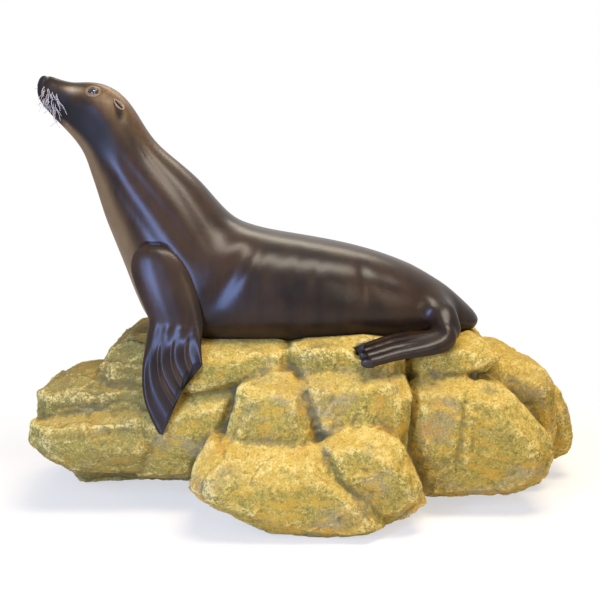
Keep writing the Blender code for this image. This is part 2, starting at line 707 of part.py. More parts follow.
def stone_block(stone, finish):
    """The convex block of one boulder, from its outline, face and back."""
    varied = random.Random(stone.name)
    xs = [x for x, _ in stone.outline]
    zs = [z for _, z in stone.outline]
    middle_x = sum(xs) / len(xs)
    middle_z = sum(zs) / len(zs)
    half_height = (max(zs) - min(zs)) / 2
    face_x, face_y = stone.faces

    def depth(z, from_face):
        above = (z - middle_z) / half_height
        eased = stone.lean * max(above, 0) ** 2 + stone.tuck * max(-above, 0) ** 2
        return stone.face - from_face - eased

    def corner(along, outwards, z):
        """A corner of the block, each a little out of true."""
        jitter = [varied.uniform(-STONE_ROUGHNESS, STONE_ROUGHNESS) for _ in range(3)]
        x = outwards * face_x + along * abs(face_y)
        y = outwards * face_y + along * abs(face_x)
        return BASE.point(x, y, z) + Vector(jitter)

    block = bmesh.new()
    for x, z in stone.outline:
        outward = Vector((x - middle_x, z - middle_z))
        reach = outward.length
        outward /= reach
        lap_x, lap_z = x + outward.x * STONE_LAP, z + outward.y * STONE_LAP
        inset_x = x - outward.x * stone.chamfer
        inset_z = z - outward.y * stone.chamfer
        block.verts.new(corner(inset_x, depth(inset_z, 0), inset_z))
        block.verts.new(corner(lap_x, depth(lap_z, stone.chamfer * 0.8), lap_z))
        back_x = mix(middle_x, lap_x, BACK_SHRINK)
        back_z = mix(middle_z, lap_z, BACK_SHRINK) + stone.rise
        block.verts.new(corner(back_x, stone.back, back_z))
    hull = bmesh.ops.convex_hull(block, input=block.verts)
    inner = set(hull["geom_interior"]) | set(hull["geom_unused"])
    bmesh.ops.delete(block, geom=[v for v in inner if isinstance(v, bmesh.types.BMVert)])
    return helper(new_object(f"stone_{stone.name}", block, finish))


def fill_block(finish):
    """The mass behind the boulders, which narrows towards the top."""
    block = bmesh.new()
    rings = []
    for height, share in FILL_RINGS:
        corners = [BASE.point(x * share, y * share, height) for x, y in FILL_FOOTPRINT]
        rings.append([block.verts.new(corner) for corner in corners])
    count = len(FILL_FOOTPRINT)
    for low, high in zip(rings, rings[1:]):
        for index in range(count):
            after = (index + 1) % count
            block.faces.new((low[index], low[after], high[after], high[index]))
    block.faces.new(list(reversed(rings[0])))
    block.faces.new(rings[-1])
    return new_object("rock_base", block, finish, smooth_angle=math.radians(20))


def below_floor(finish):
    box = bmesh.new()
    bmesh.ops.create_cube(box, size=2 * BASE_LENGTH)
    obj = helper(new_object("below_floor", box, finish))
    obj.location = (0, 0, FLOOR - BASE_LENGTH)
    return obj


def clearance(name, rings, strip_caps, finish):
    """A cutter as large as a skin over these rings with the gap round it."""
    skin = loft(rings, strip_caps)
    bmesh.ops.recalc_face_normals(skin, faces=skin.faces)
    skin.normal_update()
    for vert in skin.verts:
        vert.co += vert.normal * CASTING_GAP
    return helper(new_object(f"around_{name}", skin, finish))


def make_body(finish):
    """The body casting, its surface before the flaps are added, and the cutters round it."""
    rings = body_rings(BODY_POINTS_ROUND, BODY_STEPS)
    skin = loft(rings, False)
    bmesh.ops.recalc_face_normals(skin, faces=skin.faces)
    surface = BVHTree.FromBMesh(skin)
    body = new_object("sea_lion_body", skin, finish)
    cutters = [clearance("torso", rings, False, finish)]
    for side, word in ((LEFT_FLANK, "left"), (RIGHT_FLANK, "right")):
        name = f"hind_flipper_{word}"
        hind = loft(hind_rings(side, HIND_POINTS_ROUND), False)
        boolean(body, helper(new_object(name, hind, finish)), "UNION")
        boolean(body, ear_flap(f"ear_{word}", surface, side, finish), "UNION")
        plain = hind_rings(side, HIND_POINTS_ROUND, toe_relief=0.0)
        cutters.append(clearance(name, plain, False, finish))
    return body, surface, cutters


def make_rock(finish):
    rock = fill_block(finish)
    for stone in STONES:
        boolean(rock, stone_block(stone, finish), "UNION")
    boolean(rock, below_floor(finish), "DIFFERENCE")
    return rock


def stand_on_origin():
    """Moves everything so that the whole statue's box is centred over the origin."""
    graph = bpy.context.evaluated_depsgraph_get()
    shown = [obj for obj in bpy.data.objects if not obj.hide_render]
    corners = []
    for obj in shown:
        evaluated = obj.evaluated_get(graph)
        corners += [evaluated.matrix_world @ Vector(corner) for corner in evaluated.bound_box]
    centre_x = (min(c.x for c in corners) + max(c.x for c in corners)) / 2
    centre_y = (min(c.y for c in corners) + max(c.y for c in corners)) / 2
    for obj in bpy.data.objects:
        obj.location -= Vector((centre_x, centre_y, 0))
    return centre_x, centre_y


ANIMAL = animal_drawing()
BASE = base_drawing()


def main():
    clear_scene()
    skin_paint = material("seal_paint", SEAL_BROWN, 0.32)
    rock_paint = material("rock_paint", SANDSTONE, 0.85)
    eye_glass = material("eye_glass", EYE_BLACK, 0.05)
    bristle = material("bristle", BRISTLE, 0.45)

    body, surface, around_body = make_body(skin_paint)
    rock = make_rock(rock_paint)
    for cutter in around_body:
        boolean(rock, cutter, "DIFFERENCE")
    for side, word in ((LEFT_FLANK, "left"), (RIGHT_FLANK, "right")):
        name = f"front_flipper_{word}"
        rings = flipper_rings(side, FLIPPER_POINTS_ROUND, BLADE_STEPS)
        flipper = new_object(name, loft(rings, True), skin_paint)
        boolean(rock, clearance(name, rings, True, skin_paint), "DIFFERENCE")
        boolean(flipper, around_body[0], "DIFFERENCE")
        centre = eye_centre(surface, side)
        ball(f"eye_{word}", centre, EYE_RADIUS, eye_glass, 8)
        socket = helper(ball(f"socket_{word}", centre, EYE_RADIUS + EYE_GAP, skin_paint, 8))
        boolean(body, socket, "DIFFERENCE")
        number = 0
        for row in range(WHISKER_ROWS):
            for column in range(WHISKERS_IN_ROW):
                number += 1
                name = f"whisker_{word}_{number:02d}"
                whisker(name, surface, side, row, column, bristle)
    stand_on_origin()


main()
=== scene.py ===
import math
import random

import bmesh
import bpy
import numpy as np
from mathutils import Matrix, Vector
from mathutils.bvhtree import BVHTree


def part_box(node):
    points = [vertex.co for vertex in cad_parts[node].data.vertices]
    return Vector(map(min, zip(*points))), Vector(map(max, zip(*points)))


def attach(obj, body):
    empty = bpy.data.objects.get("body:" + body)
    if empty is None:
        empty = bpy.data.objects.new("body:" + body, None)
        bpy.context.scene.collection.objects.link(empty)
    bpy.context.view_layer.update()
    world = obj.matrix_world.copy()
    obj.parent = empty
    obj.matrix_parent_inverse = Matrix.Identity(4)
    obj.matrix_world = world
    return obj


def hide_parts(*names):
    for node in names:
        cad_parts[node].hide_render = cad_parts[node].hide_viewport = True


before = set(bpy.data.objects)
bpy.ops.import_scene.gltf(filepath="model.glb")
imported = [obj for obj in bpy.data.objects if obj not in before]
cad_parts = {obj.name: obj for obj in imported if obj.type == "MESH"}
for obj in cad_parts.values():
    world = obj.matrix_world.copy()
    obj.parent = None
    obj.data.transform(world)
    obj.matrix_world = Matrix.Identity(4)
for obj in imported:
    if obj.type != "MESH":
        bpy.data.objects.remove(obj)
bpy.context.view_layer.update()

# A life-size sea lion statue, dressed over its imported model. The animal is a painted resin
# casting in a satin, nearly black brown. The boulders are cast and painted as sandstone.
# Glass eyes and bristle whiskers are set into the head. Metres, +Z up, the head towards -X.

# Each side's sign across the midline, and its word in the names of pieces
SIDES = ((-1, "left"), (1, "right"))

# The camera, level with the head and looking slightly down
CAMERA_AT = (-0.0449, -3.6907, 1.50)
CAMERA_TURN = (math.radians(78), 0.0, 0.0)
CAMERA_FIELD = math.radians(31)

# Fits between pieces
FLIPPER_GAP = 0.0012
EYE_RADIUS = 0.0185
EYE_STANDS_OUT = 0.0055
ROCK_GAP = 0.0015
SEAM_DEPTH = 0.0034

# Edge lengths of the cells that skin and rock are wrapped in
SKIN_CELL = 0.0088
ROCK_CELL = 0.0083

# Steps of the lofts: between rows on the head, between rows behind it, and round
FINE_TORSO = (22, 9, 216)
COARSE_TORSO = (6, 6, 108)
# Steps between rows and round
PLAIN_TORSO = (16, 120)
HIND_LOFT = (12, 144)
# Steps between rows of the arm, along the blade, and round
FLIPPER_LOFT = (8, 80, 248)

# Where the skin is split finer: x, distance off the midline and z, each from and to
NECK_BOX = ((-2.0, -0.55), (-1.0, 1.0), (1.22, 2.0))
MUZZLE_BOX = ((-2.0, -0.82), (-1.0, 1.0), (1.30, 2.0))
FOOT_BOX = ((0.12, 0.45), (0.19, 1.0), (-1.0, 0.65))
SHOULDER_BOX = ((-0.63, -0.34), (0.12, 1.0), (-1.0, 0.97))
ROUND_EYE = 0.045

# The animal's drawing, as in the part's source.
# Body rows: under side x, z and upper side x, z on the midline, width, corner fullness
BELLY_CENTRE_SHARE = 0.44
BODY_SECTIONS = (
    (-0.930, 1.425, -0.921, 1.472, 0.044, 2.3),
    (-0.917, 1.398, -0.903, 1.482, 0.070, 2.3),
    (-0.897, 1.370, -0.874, 1.478, 0.094, 2.2),
    (-0.873, 1.343, -0.843, 1.467, 0.104, 2.2),
    (-0.844, 1.313, -0.803, 1.459, 0.122, 2.3),
    (-0.816, 1.284, -0.753, 1.461, 0.156, 2.5),
    (-0.795, 1.258, -0.699, 1.452, 0.184, 2.5),
    (-0.778, 1.230, -0.648, 1.422, 0.196, 2.4),
    (-0.766, 1.198, -0.604, 1.370, 0.200, 2.2),
    (-0.755, 1.158, -0.563, 1.300, 0.208, 2.1),
    (-0.740, 1.108, -0.519, 1.245, 0.228, 2.0),
    (-0.713, 1.012, -0.454, 1.190, 0.268, 2.0),
    (-0.682, 0.928, -0.387, 1.130, 0.314, 2.0),
    (-0.645, 0.832, -0.330, 1.062, 0.362, 2.1),
    (-0.610, 0.735, -0.288, 1.018, 0.400, 2.1),
    (-0.560, 0.640, -0.250, 0.992, 0.424, 2.2),
    (-0.455, 0.588, -0.205, 0.975, 0.440, 2.3),
    (-0.310, 0.580, -0.145, 0.960, 0.450, 2.3),
    (-0.140, 0.580, -0.065, 0.946, 0.446, 2.3),
    (0.030, 0.580, 0.040, 0.928, 0.428, 2.3),
    (0.175, 0.580, 0.158, 0.903, 0.394, 2.2),
    (0.300, 0.582, 0.270, 0.868, 0.344, 2.2),
    (0.405, 0.588, 0.378, 0.822, 0.284, 2.1),
    (0.490, 0.598, 0.470, 0.762, 0.206, 2.0),
    (0.552, 0.608, 0.545, 0.694, 0.120, 2.0),
    (0.582, 0.632, 0.580, 0.660, 0.044, 2.0),
)
HEAD_ROWS = 9
LAST_ROW = len(BODY_SECTIONS) - 1

# Spots on the head: a place among the rows, and a turn from the top of that section
EYE_SPOT = (5.63, math.radians(43))
EAR_SPOT = (7.34, math.radians(38.5))
EAR_LENGTH = 0.052
EAR_WIDTH = 0.027
EAR_THICKNESS = 0.018
EAR_POINTS_DOWN = math.radians(64)
EAR_LIFT = 0.95
EAR_TAPER = 1.3
EAR_HOLLOW = 0.80
EAR_HOLLOW_SEEN = 0.42
WHISKER_ROWS = 4
WHISKERS_IN_ROW = 4
WHISKER_LENGTH = 0.078
WHISKER_SIDE_LENGTHS = {-1: 1.0, 1: 1.22}
WHISKER_SWEEPS = {-1: -0.12, 1: -1.15}
LEFT_DROP = -0.90
RIGHT_DROPS = (-0.65, -0.15)
WAVES = (1.6, 2.8)
WAVE_HEIGHT = 0.055
BRISTLES_PER_WHISKER = 3
BRISTLE_SHAPE = {"root_radius": 0.0012, "tip_radius": 0.0006, "sides": 6}
PAD_ROWS = (1.55, 3.05)
PAD_TURNS = (math.radians(70), math.radians(106))
PAD_STAGGER = 0.15

# Modelling of the body: rise, row and its spread, degrees from the top and their spread
SWELLINGS = (
    (0.0030, 5.25, 0.55, 24, 9),  # brow
    (-0.0062, EYE_SPOT[0] - 0.02, 0.52, 43, 11),  # eye socket
    (0.0022, 6.1, 1.0, 80, 18),  # cheek
    (0.0022, 4.10, 0.60, 46, 8),  # ridge before the eye
    (-0.0022, 4.30, 0.60, 66, 12),  # hollow below it
    (0.0055, 2.2, 0.90, 92, 24),  # whisker pad
    (-0.0030, 3.85, 0.45, 88, 24),  # behind the pad
    (-0.0045, 0.62, 0.17, 44, 9),  # nostril
    (-0.0022, 0.5, 0.5, 0, 5),  # parting of the nose
    (-0.0045, 7.75, 0.35, 47, 8),  # below the ear
    (-0.0090, 16.2, 0.42, 76, 30),  # behind the shoulder
    (0.0050, 15.7, 0.6, 38, 18),  # shoulder blade
    (0.0035, 16.9, 0.30, 60, 22),  # first rib
    (0.0070, 21.6, 1.0, 66, 26),  # thigh
    (-0.0060, 20.1, 0.40, 88, 24),  # flank before the thigh
)
MOUTH_DEPTH = 0.0032
NOSE_GROOVE = 0.0034
NOSE_RISE = 0.0016

# Painted light on the body: painted highlights on the snout before the eye and behind the nose,
# and a painted shadow below the ear. Mask, strength, row and its spread, degrees from the top and
# their spread
PAINTED_LIGHT_PATCHES = (
    ("face", 0.85, 4.1, 0.8, 48, 15),
    ("pale", 0.80, 4.15, 0.60, 47, 9),
    ("pale", 0.45, 1.62, 0.10, 18, 14),
    ("muzzle", 0.90, EAR_SPOT[0] + 0.42, 0.22, 50, 7),
)
MASKS = ("face", "pale", "throat", "muzzle", "nail")

# Half the width of the eye's opening behind and before its middle, half its height above
# and below, and how far its rear corner lies below the front one
EYE_WIDTHS = (0.0205, 0.0176)
EYE_HEIGHTS = (0.0138, 0.0142)
EYE_SLANT = 0.16
# Rings of the eyelids: size, what the ring follows, how far it stands off that
EYELID_RINGS = (
    (0.90, "ball", -0.0030), (0.97, "ball", 0.0002), (1.01, "ball", 0.0014), (1.06, "ball", 0.0027),
    (1.14, "ball", 0.0034), (1.24, "slope", 0.0026), (1.36, "slope", 0.0009), (1.52, "skin", 0.0006),
    (1.78, "skin", -0.0012), (1.60, "skin", -0.0045), (1.15, "skin", -0.0060),
)

# Folds pressed into the neck: turn from the top, its drift along the rows, spread, depth
NECK_LINES = (
    (50.0, 3.0, 5.0, 0.0034),
    (72.0, -2.0, 7.0, 0.0040),
    (96.0, -5.0, 6.0, 0.0030),
    (128.0, -3.0, 8.0, 0.0030),
)
# Folds across the flank: row, how far it leans, spread, depth
FLANK_FOLDS = (
    (16.95, 0.10, 0.11, 0.0034),
    (17.55, -0.06, 0.16, 0.0012),
    (18.20, 0.08, 0.12, 0.0032),
    (18.78, -0.05, 0.10, 0.0028),
    (19.35, 0.05, 0.18, 0.0012),
    (20.05, 0.07, 0.13, 0.0036),
    (20.70, -0.04, 0.20, 0.0012),
)

# Front flipper rows: leading edge x, z, trailing edge x, z, off the midline, thickness
ARM_SECTIONS = (
    (-0.560, 0.938, -0.506, 0.938, 0.172, 0.024),
    (-0.586, 0.924, -0.464, 0.922, 0.174, 0.060),
    (-0.602, 0.894, -0.426, 0.884, 0.180, 0.080),
    (-0.603, 0.852, -0.396, 0.836, 0.186, 0.094),
    (-0.590, 0.803, -0.378, 0.788, 0.192, 0.098),
    (-0.568, 0.748, -0.366, 0.732, 0.201, 0.090),
    (-0.543, 0.692, -0.361, 0.680, 0.212, 0.070),
)
BLADE_LEADING = ((-0.556, 0.617), (-0.568, 0.541), (-0.568, 0.465), (-0.552, 0.390))
BLADE_TRAILING = ((-0.370, 0.618),)
DIGIT_ENDS = ((-0.505, 0.296), (-0.463, 0.413), (-0.436, 0.480), (-0.406, 0.530), (-0.364, 0.556))
BLADE_EDGE_THICKNESS = 0.018
BLADE_TIP_OFF_MIDLINE = 0.282
BLADE_TURNS_OUT = 0.050
BLADE_TURNS_ABOUT = 0.12
WEB_NOTCH = 0.019
DIGIT_HEIGHT = 0.0095
BLADE_TIP_RADIUS = 0.019
BLADE_TIP_HALF_ANGLE = math.radians(29)
TIP_REMAINDER = 0.06

# Hind flipper rows: centre x, off the midline, z, half width, half thickness, turned
HIND_SECTIONS = (
    (0.320, 0.045, 0.716, 0.084, 0.084, 0.0),
    (0.380, 0.080, 0.712, 0.074, 0.070, 0.0),
    (0.424, 0.126, 0.698, 0.056, 0.050, 0.0),
    (0.443, 0.160, 0.674, 0.044, 0.042, 0.2),
    (0.447, 0.184, 0.647, 0.044, 0.038, 0.6),
    (0.428, 0.205, 0.624, 0.047, 0.034, 0.9),
    (0.385, 0.217, 0.616, 0.056, 0.029, 1.0),
    (0.330, 0.226, 0.612, 0.062, 0.026, 1.0),
    (0.270, 0.241, 0.606, 0.063, 0.024, 1.0),
    (0.212, 0.259, 0.594, 0.061, 0.022, 1.0),
    (0.166, 0.271, 0.583, 0.059, 0.019, 1.0),
    (0.148, 0.273, 0.580, 0.056, 0.015, 1.0),
    (0.135, 0.275, 0.578, 0.048, 0.006, 1.0),
)
LAST_HIND_ROW = len(HIND_SECTIONS) - 1
FOOT_TILT = math.radians(21)
TOES = 4
TOE_RIDGE = 0.22
TOE_SCALLOP = 0.012
TOE_SETBACK = 0.012
TOE_BULB_LENGTH = 0.052
TOE_BULB_WIDTH = 0.0285
TOE_BULB_ROW = 10.4
TOE_BULB_FULLNESS = 2.4
TOE_BULB_SWELL = 1.02
TOE_STAGGER = 0.024
FOOT_FULLNESS = 2.2
SOLE_FULLNESS = 2.8

# Depths of the weathering, by what makes it
WEATHERING = {
    "lumps": 0.0045, "chips": 0.0042, "flakes": 0.0026, "ledges": 0.0100,
    "cracks": 0.0040, "pits": 0.0018, "roughness": 0.0034,
}
# Joints between boulders: how deep a bend stays open, the share filled beyond, the most filled
JOINT_FILL = (0.011, 0.75, 0.030)
UNDER_BLOCK_FILL = (0.004, 0.90, 0.040)
BEND_DEEPENED = 0.45
DEEPENED_LIMITS = (-0.005, 0.004)
# Bends that the rock's paint reads: where an edge or a joint starts and where it is full
EDGE_BEND = (0.003, 0.014)
JOINT_BEND = (-0.006, -0.023)
CHIP_BEND = 0.0016
# Rock is pushed out of the animal where it lies nearer than this to the skin
REACH_OF_SKIN = 0.03
# Rock behind a front blade: circles searched round a point, rock moved at most so far
SEARCH_CIRCLES = (0.007, 0.014)
SEARCH_SLOPE = 0.7
MOST_MOVED = 0.09
# Creases down the front of the right boulder: x at height CREASE_Z, spread, depth
CREASES = ((0.488, 0.0085, 0.013), (0.514, 0.015, -0.006))
CREASE_LEAN = 0.10
CREASE_Z = 0.3

WORLD_LIGHT = 0.28
# Lamps: name, place, aim, width and height, power, colour
LAMPS = (
    ("overhead", (0.7, -1.3, 4.0), (0.1, 0.0, 0.6), (2.4, 1.15), 185, (1.0, 0.89, 0.74)),
    ("upper_rear", (0.4, 2.2, 3.4), (0.0, 0.0, 0.9), (2.2, 0.8), 60, (1.0, 0.90, 0.72)),
    ("window", (-1.8, -3.3, 1.4), (-0.4, 0.0, 0.8), (0.7, 2.5), 245, (0.30, 0.46, 1.0)),
    ("warm_side", (1.7, -3.2, 1.7), (-0.2, 0.0, 0.8), (0.22, 2.2), 32, (1.0, 0.83, 0.60)),
)

# The drawing's place in the frame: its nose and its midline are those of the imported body
BODY_LOW, BODY_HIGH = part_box("sea_lion_body")
PLACE = np.array((BODY_LOW.x + 0.930, (BODY_LOW.y + BODY_HIGH.y) / 2, 0.0))


def rows_along(table, positions):
    """Values between the rows of a table, on one curve through all of them."""
    rows = np.array(table, float)
    positions = np.atleast_1d(positions)
    index = np.clip(positions.astype(int), 0, len(rows) - 2)
    share = (positions - index)[:, None]
    before = rows[np.maximum(index - 1, 0)]
    start = rows[index]
    end = rows[index + 1]
    after = rows[np.minimum(index + 2, len(rows) - 1)]
    slope_in = (end - before) / 2
    slope_out = (after - start) / 2
    cube = 2 * (start - end) + slope_in + slope_out
    square = 3 * (end - start) - 2 * slope_in - slope_out
    return ((cube * share + square) * share + slope_in) * share + start


def power_wave(value, fullness):
    """A sine or cosine pushed outwards, as on a squared ellipse."""
    return np.sign(value) * np.abs(value) ** (2 / fullness)


def ease(low, high, value):
    """0 below low, 1 above high, and a smooth rise between."""
    share = np.clip((value - low) / (high - low), 0, 1)
    return share * share * (3 - 2 * share)


def hump(value, centre, spread):
    return np.exp(-(((value - centre) / spread) ** 2))


def patch(row, degrees, at_row, row_spread, at_turn, turn_spread):
    """1 at a spot of the body, and less away from it."""
    return hump(row, at_row, row_spread) * hump(degrees, at_turn, turn_spread)


def unit(vectors):
    return vectors / np.maximum(np.linalg.norm(vectors, axis=-1, keepdims=True), 1e-12)


def turns_round(count):
    """Even turns of a full circle."""
    return np.arange(count) * 2 * math.pi / count


def grid_normals(grid):
    """Outward directions at the points of a lofted grid, whose rings run nose to tail."""
    along = np.gradient(grid, axis=0)
    round_ring = np.roll(grid, -1, axis=1) - np.roll(grid, 1, axis=1)
    return unit(np.cross(along, round_ring))


def grid_quads(rings, count):
    index = np.arange(rings * count).reshape(rings, count)
    after = np.roll(index, -1, axis=1)
    quads = np.stack((index[:-1], after[:-1], after[1:], index[1:]), axis=-1)
    return quads.reshape(-1, 4)


class Skin:
    """A fine lofted surface that a mesh is pressed onto, and that says where a point lies."""

    def __init__(self, grid, positions):
        self.grid = grid
        self.positions = positions
        self.rings, self.count = grid.shape[:2]
        quads = grid_quads(self.rings, self.count)
        self.tree = BVHTree.FromPolygons(grid.reshape(-1, 3).tolist(), quads.tolist())

    def nearest(self, points):
        """The nearest points, their distances, their rows and their turns from the top."""
        found = (self.tree.find_nearest(Vector(point)) for point in points)
        places, _, faces, gaps = zip(*found)
        faces = np.array(faces)
        rows = self.positions[faces // self.count]
        turns = (faces % self.count) * 2 * math.pi / self.count
        turns = np.minimum(turns, 2 * math.pi - turns)
        return np.array(places), np.array(gaps), rows, turns

    def spot(self, row, turn, side):
        """A point on the skin and its outward direction, at a row and turn of one side."""
        ring = int(np.argmin(np.abs(self.positions - row)))
        step = int(round(side * turn / (2 * math.pi) * self.count)) % self.count
        normals = grid_normals(self.grid[max(ring - 3, 0):ring + 4])
        return self.grid[ring, step].copy(), normals[min(ring, 3), step]


def body_grid(positions, points_round):
    """Sections of the body as drawn, rounded off at the nose and the tail."""
    low_x, low_z, high_x, high_z, width, fullness = rows_along(BODY_SECTIONS, positions).T
    turns = turns_round(points_round)
    middle = np.zeros_like(low_x)
    low = np.stack((low_x, middle, low_z), axis=-1)
    up = np.stack((high_x, middle, high_z), axis=-1) - low
    height = np.linalg.norm(up, axis=-1, keepdims=True)
    up /= height
    centre = low + up * height * BELLY_CENTRE_SHARE
    rise = power_wave(np.cos(turns)[None, :], fullness[:, None])
    across = power_wave(np.sin(turns)[None, :], fullness[:, None])
    reach = height * np.where(rise > 0, 1 - BELLY_CENTRE_SHARE, BELLY_CENTRE_SHARE)
    from_end = np.minimum(np.minimum(positions, LAST_ROW - positions), 1)
    closing = np.maximum(1 - (1 - from_end) ** 3, 1e-6) ** (1 / 3)
    rise = rise * reach * closing[:, None]
    across = across * (width / 2 * closing)[:, None]
    grid = centre[:, None, :] + up[:, None, :] * rise[..., None]
    grid[..., 1] += across
    return grid + PLACE


def eased_along(grid, spread):
    """The grid with its rings blended along their length, so that no row shows as a band."""
    reach = int(3 * spread)
    weights = np.exp(-((np.arange(-reach, reach + 1) / spread) ** 2) / 2)
    weights /= weights.sum()
    padded = np.pad(grid, ((reach, reach), (0, 0), (0, 0)), mode="reflect", reflect_type="odd")
    rows = len(grid)
    return sum(weight * padded[step:step + rows] for step, weight in enumerate(weights))


def sculpt_height(row, turn):
    """How far the modelling stands out from the drawn body, over rows and turns from the top."""
    degrees = np.degrees(turn)
    height = sum(rise * patch(row, degrees, *spot) for rise, *spot in SWELLINGS)
    lip = 120 + 3.0 * (row - 1) - 6 * ease(3.0, 5.5, row)
    mouth = hump(degrees, lip, 3.0) * ease(0.5, 0.9, row) * (1 - ease(4.6, 5.4, row))
    height -= MOUTH_DEPTH * mouth
    height -= NOSE_GROOVE * hump(row, 1.42, 0.13) * (1 - ease(66, 84, degrees))
    height += NOSE_RISE * (1 - ease(0.9, 1.3, row)) * (1 - ease(70, 90, degrees))
    neck = ease(8.5, 10.5, row) * (1 - ease(13.6, 15.2, row))
    for line, drift, spread, depth in NECK_LINES:
        height -= depth * neck * hump(degrees, line + drift * (row - 12), spread)
    for fold_row, lean, spread, depth in FLANK_FOLDS:
        middle = fold_row + lean * (degrees - 55) / 30
        height -= depth * hump(row, middle, spread) * hump(degrees, 56, 24)
    return height


def sculpted(grid, positions):
    """The grid with the modelling raised on it along its normals."""
    turns = turns_round(grid.shape[1])
    turns = np.minimum(turns, 2 * math.pi - turns)
    height = sculpt_height(positions[:, None], turns[None, :])
    return grid + grid_normals(grid) * height[..., None]


def torso_skin(head_steps, body_steps, points_round):
    head = np.arange(HEAD_ROWS * head_steps) / head_steps
    body = HEAD_ROWS + np.arange((LAST_ROW - HEAD_ROWS) * body_steps + 1) / body_steps
    even_steps = PLAIN_TORSO[0]
    smooth = eased_along(body_grid(PLAIN_POSITIONS, points_round), 0.30 * even_steps)
    positions = np.concatenate((head, body))
    flat = smooth.reshape(len(PLAIN_POSITIONS), -1)
    grid = rows_along(flat, positions * even_steps).reshape(len(positions), points_round, 3)
    return Skin(sculpted(grid, positions), positions)


def hind_skin(side, steps, points_round):
    """A hind flipper from inside the hip round the heel to the toes."""
    positions = np.arange(LAST_HIND_ROW * steps + 1) / steps
    row = positions[:, None]
    x, off, z, half_width, half_thickness, turned = rows_along(HIND_SECTIONS, positions).T[..., None]
    centres = np.concatenate((x, side * off, z), axis=1)
    forward = unit(np.gradient(centres, axis=0))
    sole = np.array((0, -side * math.cos(FOOT_TILT), math.sin(FOOT_TILT)))
    turned = np.clip(turned, 0, 1)
    wide = np.array((1.0, 0, 0)) * (1 - turned) + sole * turned
    wide = unit(wide - forward * (forward * wide).sum(axis=-1, keepdims=True))
    thick = np.cross(forward, wide) * side
    turns = turns_round(points_round)
    across = power_wave(np.cos(turns), FOOT_FULLNESS)
    toe_place = (across + 1) * TOES / 2
    off_toe = np.abs(toe_place - np.floor(toe_place) - 0.5) * 2
    lobes = 1 - np.sqrt(np.maximum(1 - off_toe ** 2, 0))
    between = ((1 + np.cos(math.pi * (across + 1) * TOES)) / 2) ** 2.2
    between *= 1 - ease(0.80, 0.98, np.abs(across))
    rounded = ease(9.4, 11.2, row)
    grooves = between * (1 - rounded) + lobes * rounded
    swell = 1 - (TOE_RIDGE + 0.42 * rounded) * ease(6.0, 9.0, row) * grooves
    from_end = np.minimum((LAST_HIND_ROW - row) / 1.6, 1)
    blunt = np.maximum(1 - (1 - from_end) ** 2.6, 0.02) ** (1 / 2.6)
    lift = power_wave(np.sin(turns), SOLE_FULLNESS) * half_thickness * swell
    lift = lift * np.where(row > 10.5, blunt * 1.25, 1) * (1 + 0.16 * hump(row, 10.2, 0.7))
    scallop = np.maximum(row - 10, 0) / 2 * (TOE_SETBACK + TOE_SCALLOP * lobes)
    scallop = scallop + TOE_STAGGER * ease(8.5, 12.0, row) * (1 - across) / 2
    grid = centres[:, None] + wide[:, None] * (across * half_width)[..., None]
    grid += thick[:, None] * lift[..., None] - forward[:, None] * scallop[..., None]
    return Skin(grid + PLACE, positions)


def loft(grid, name):
    """A closed mesh over a grid of rings, capped at both ends."""
    rings, count = grid.shape[:2]
    points = grid.reshape(-1, 3)
    poles = np.stack((grid[0].mean(axis=0), grid[-1].mean(axis=0)))
    faces = grid_quads(rings, count).tolist()
    last = (rings - 1) * count
    first_pole = rings * count
    for step in range(count):
        after = (step + 1) % count
        faces.append((after, step, first_pole))
        faces.append((last + step, last + after, first_pole + 1))
    return mesh_object(name, np.concatenate((points, poles)), faces)


def new_object(name, data):
    """An object of the scene that holds a mesh, a lamp or a lens."""
    obj = bpy.data.objects.new(name, data)
    bpy.context.scene.collection.objects.link(obj)
    return obj


def filled(mesh, maker):
    """The mesh with what a mesh maker holds, smooth; the maker is freed."""
    maker.to_mesh(mesh)
    maker.free()
    mesh.shade_smooth()
    return mesh


def mesh_object(name, points, faces):
    """An object from points and faces, turned outwards and smooth."""
    mesh = bpy.data.meshes.new(name)
    mesh.from_pydata(np.asarray(points).tolist(), [], [tuple(face) for face in faces])
    maker = bmesh.new()
    maker.from_mesh(mesh)
    bmesh.ops.remove_doubles(maker, verts=maker.verts, dist=1e-6)
    bmesh.ops.recalc_face_normals(maker, faces=maker.faces)
    return new_object(name, filled(mesh, maker))


def baked(obj):
    """Turns an object's modifiers into its plain mesh."""
    graph = bpy.context.evaluated_depsgraph_get()
    mesh = bpy.data.meshes.new_from_object(obj.evaluated_get(graph))
    obj.modifiers.clear()
    obj.data = mesh
    return obj


def joined(name, objects):
    """One object that holds the meshes of several, which are removed."""
    maker = bmesh.new()
    for obj in objects:
        maker.from_mesh(obj.data)
        bpy.data.objects.remove(obj)
    return new_object(name, filled(bpy.data.meshes.new(name), maker))


def wrapped(obj, size):
    """One closed mesh of even quads round everything in an object."""
    wrap = obj.modifiers.new("wrap", "REMESH")
    wrap.mode = "VOXEL"
    wrap.voxel_size = size
    return baked(obj)


def painted(obj, finish):
    """The object with one material."""
    obj.data.materials.clear()
    obj.data.materials.append(finish)
    return obj


def surface_tree(obj):
    """A search tree over an object's faces."""
    polygons = [tuple(face.vertices) for face in obj.data.polygons]
    return BVHTree.FromPolygons([vert.co for vert in obj.data.vertices], polygons)


def get_points(mesh):
    points = np.empty(len(mesh.vertices) * 3)
    mesh.vertices.foreach_get("co", points)
    return points.reshape(-1, 3)


def set_points(mesh, points):
    mesh.vertices.foreach_set("co", np.asarray(points, float).ravel())
    mesh.update()


def get_normals(mesh):
    normals = np.empty(len(mesh.vertices) * 3)
    mesh.vertex_normals.foreach_get("vector", normals)
    return normals.reshape(-1, 3)


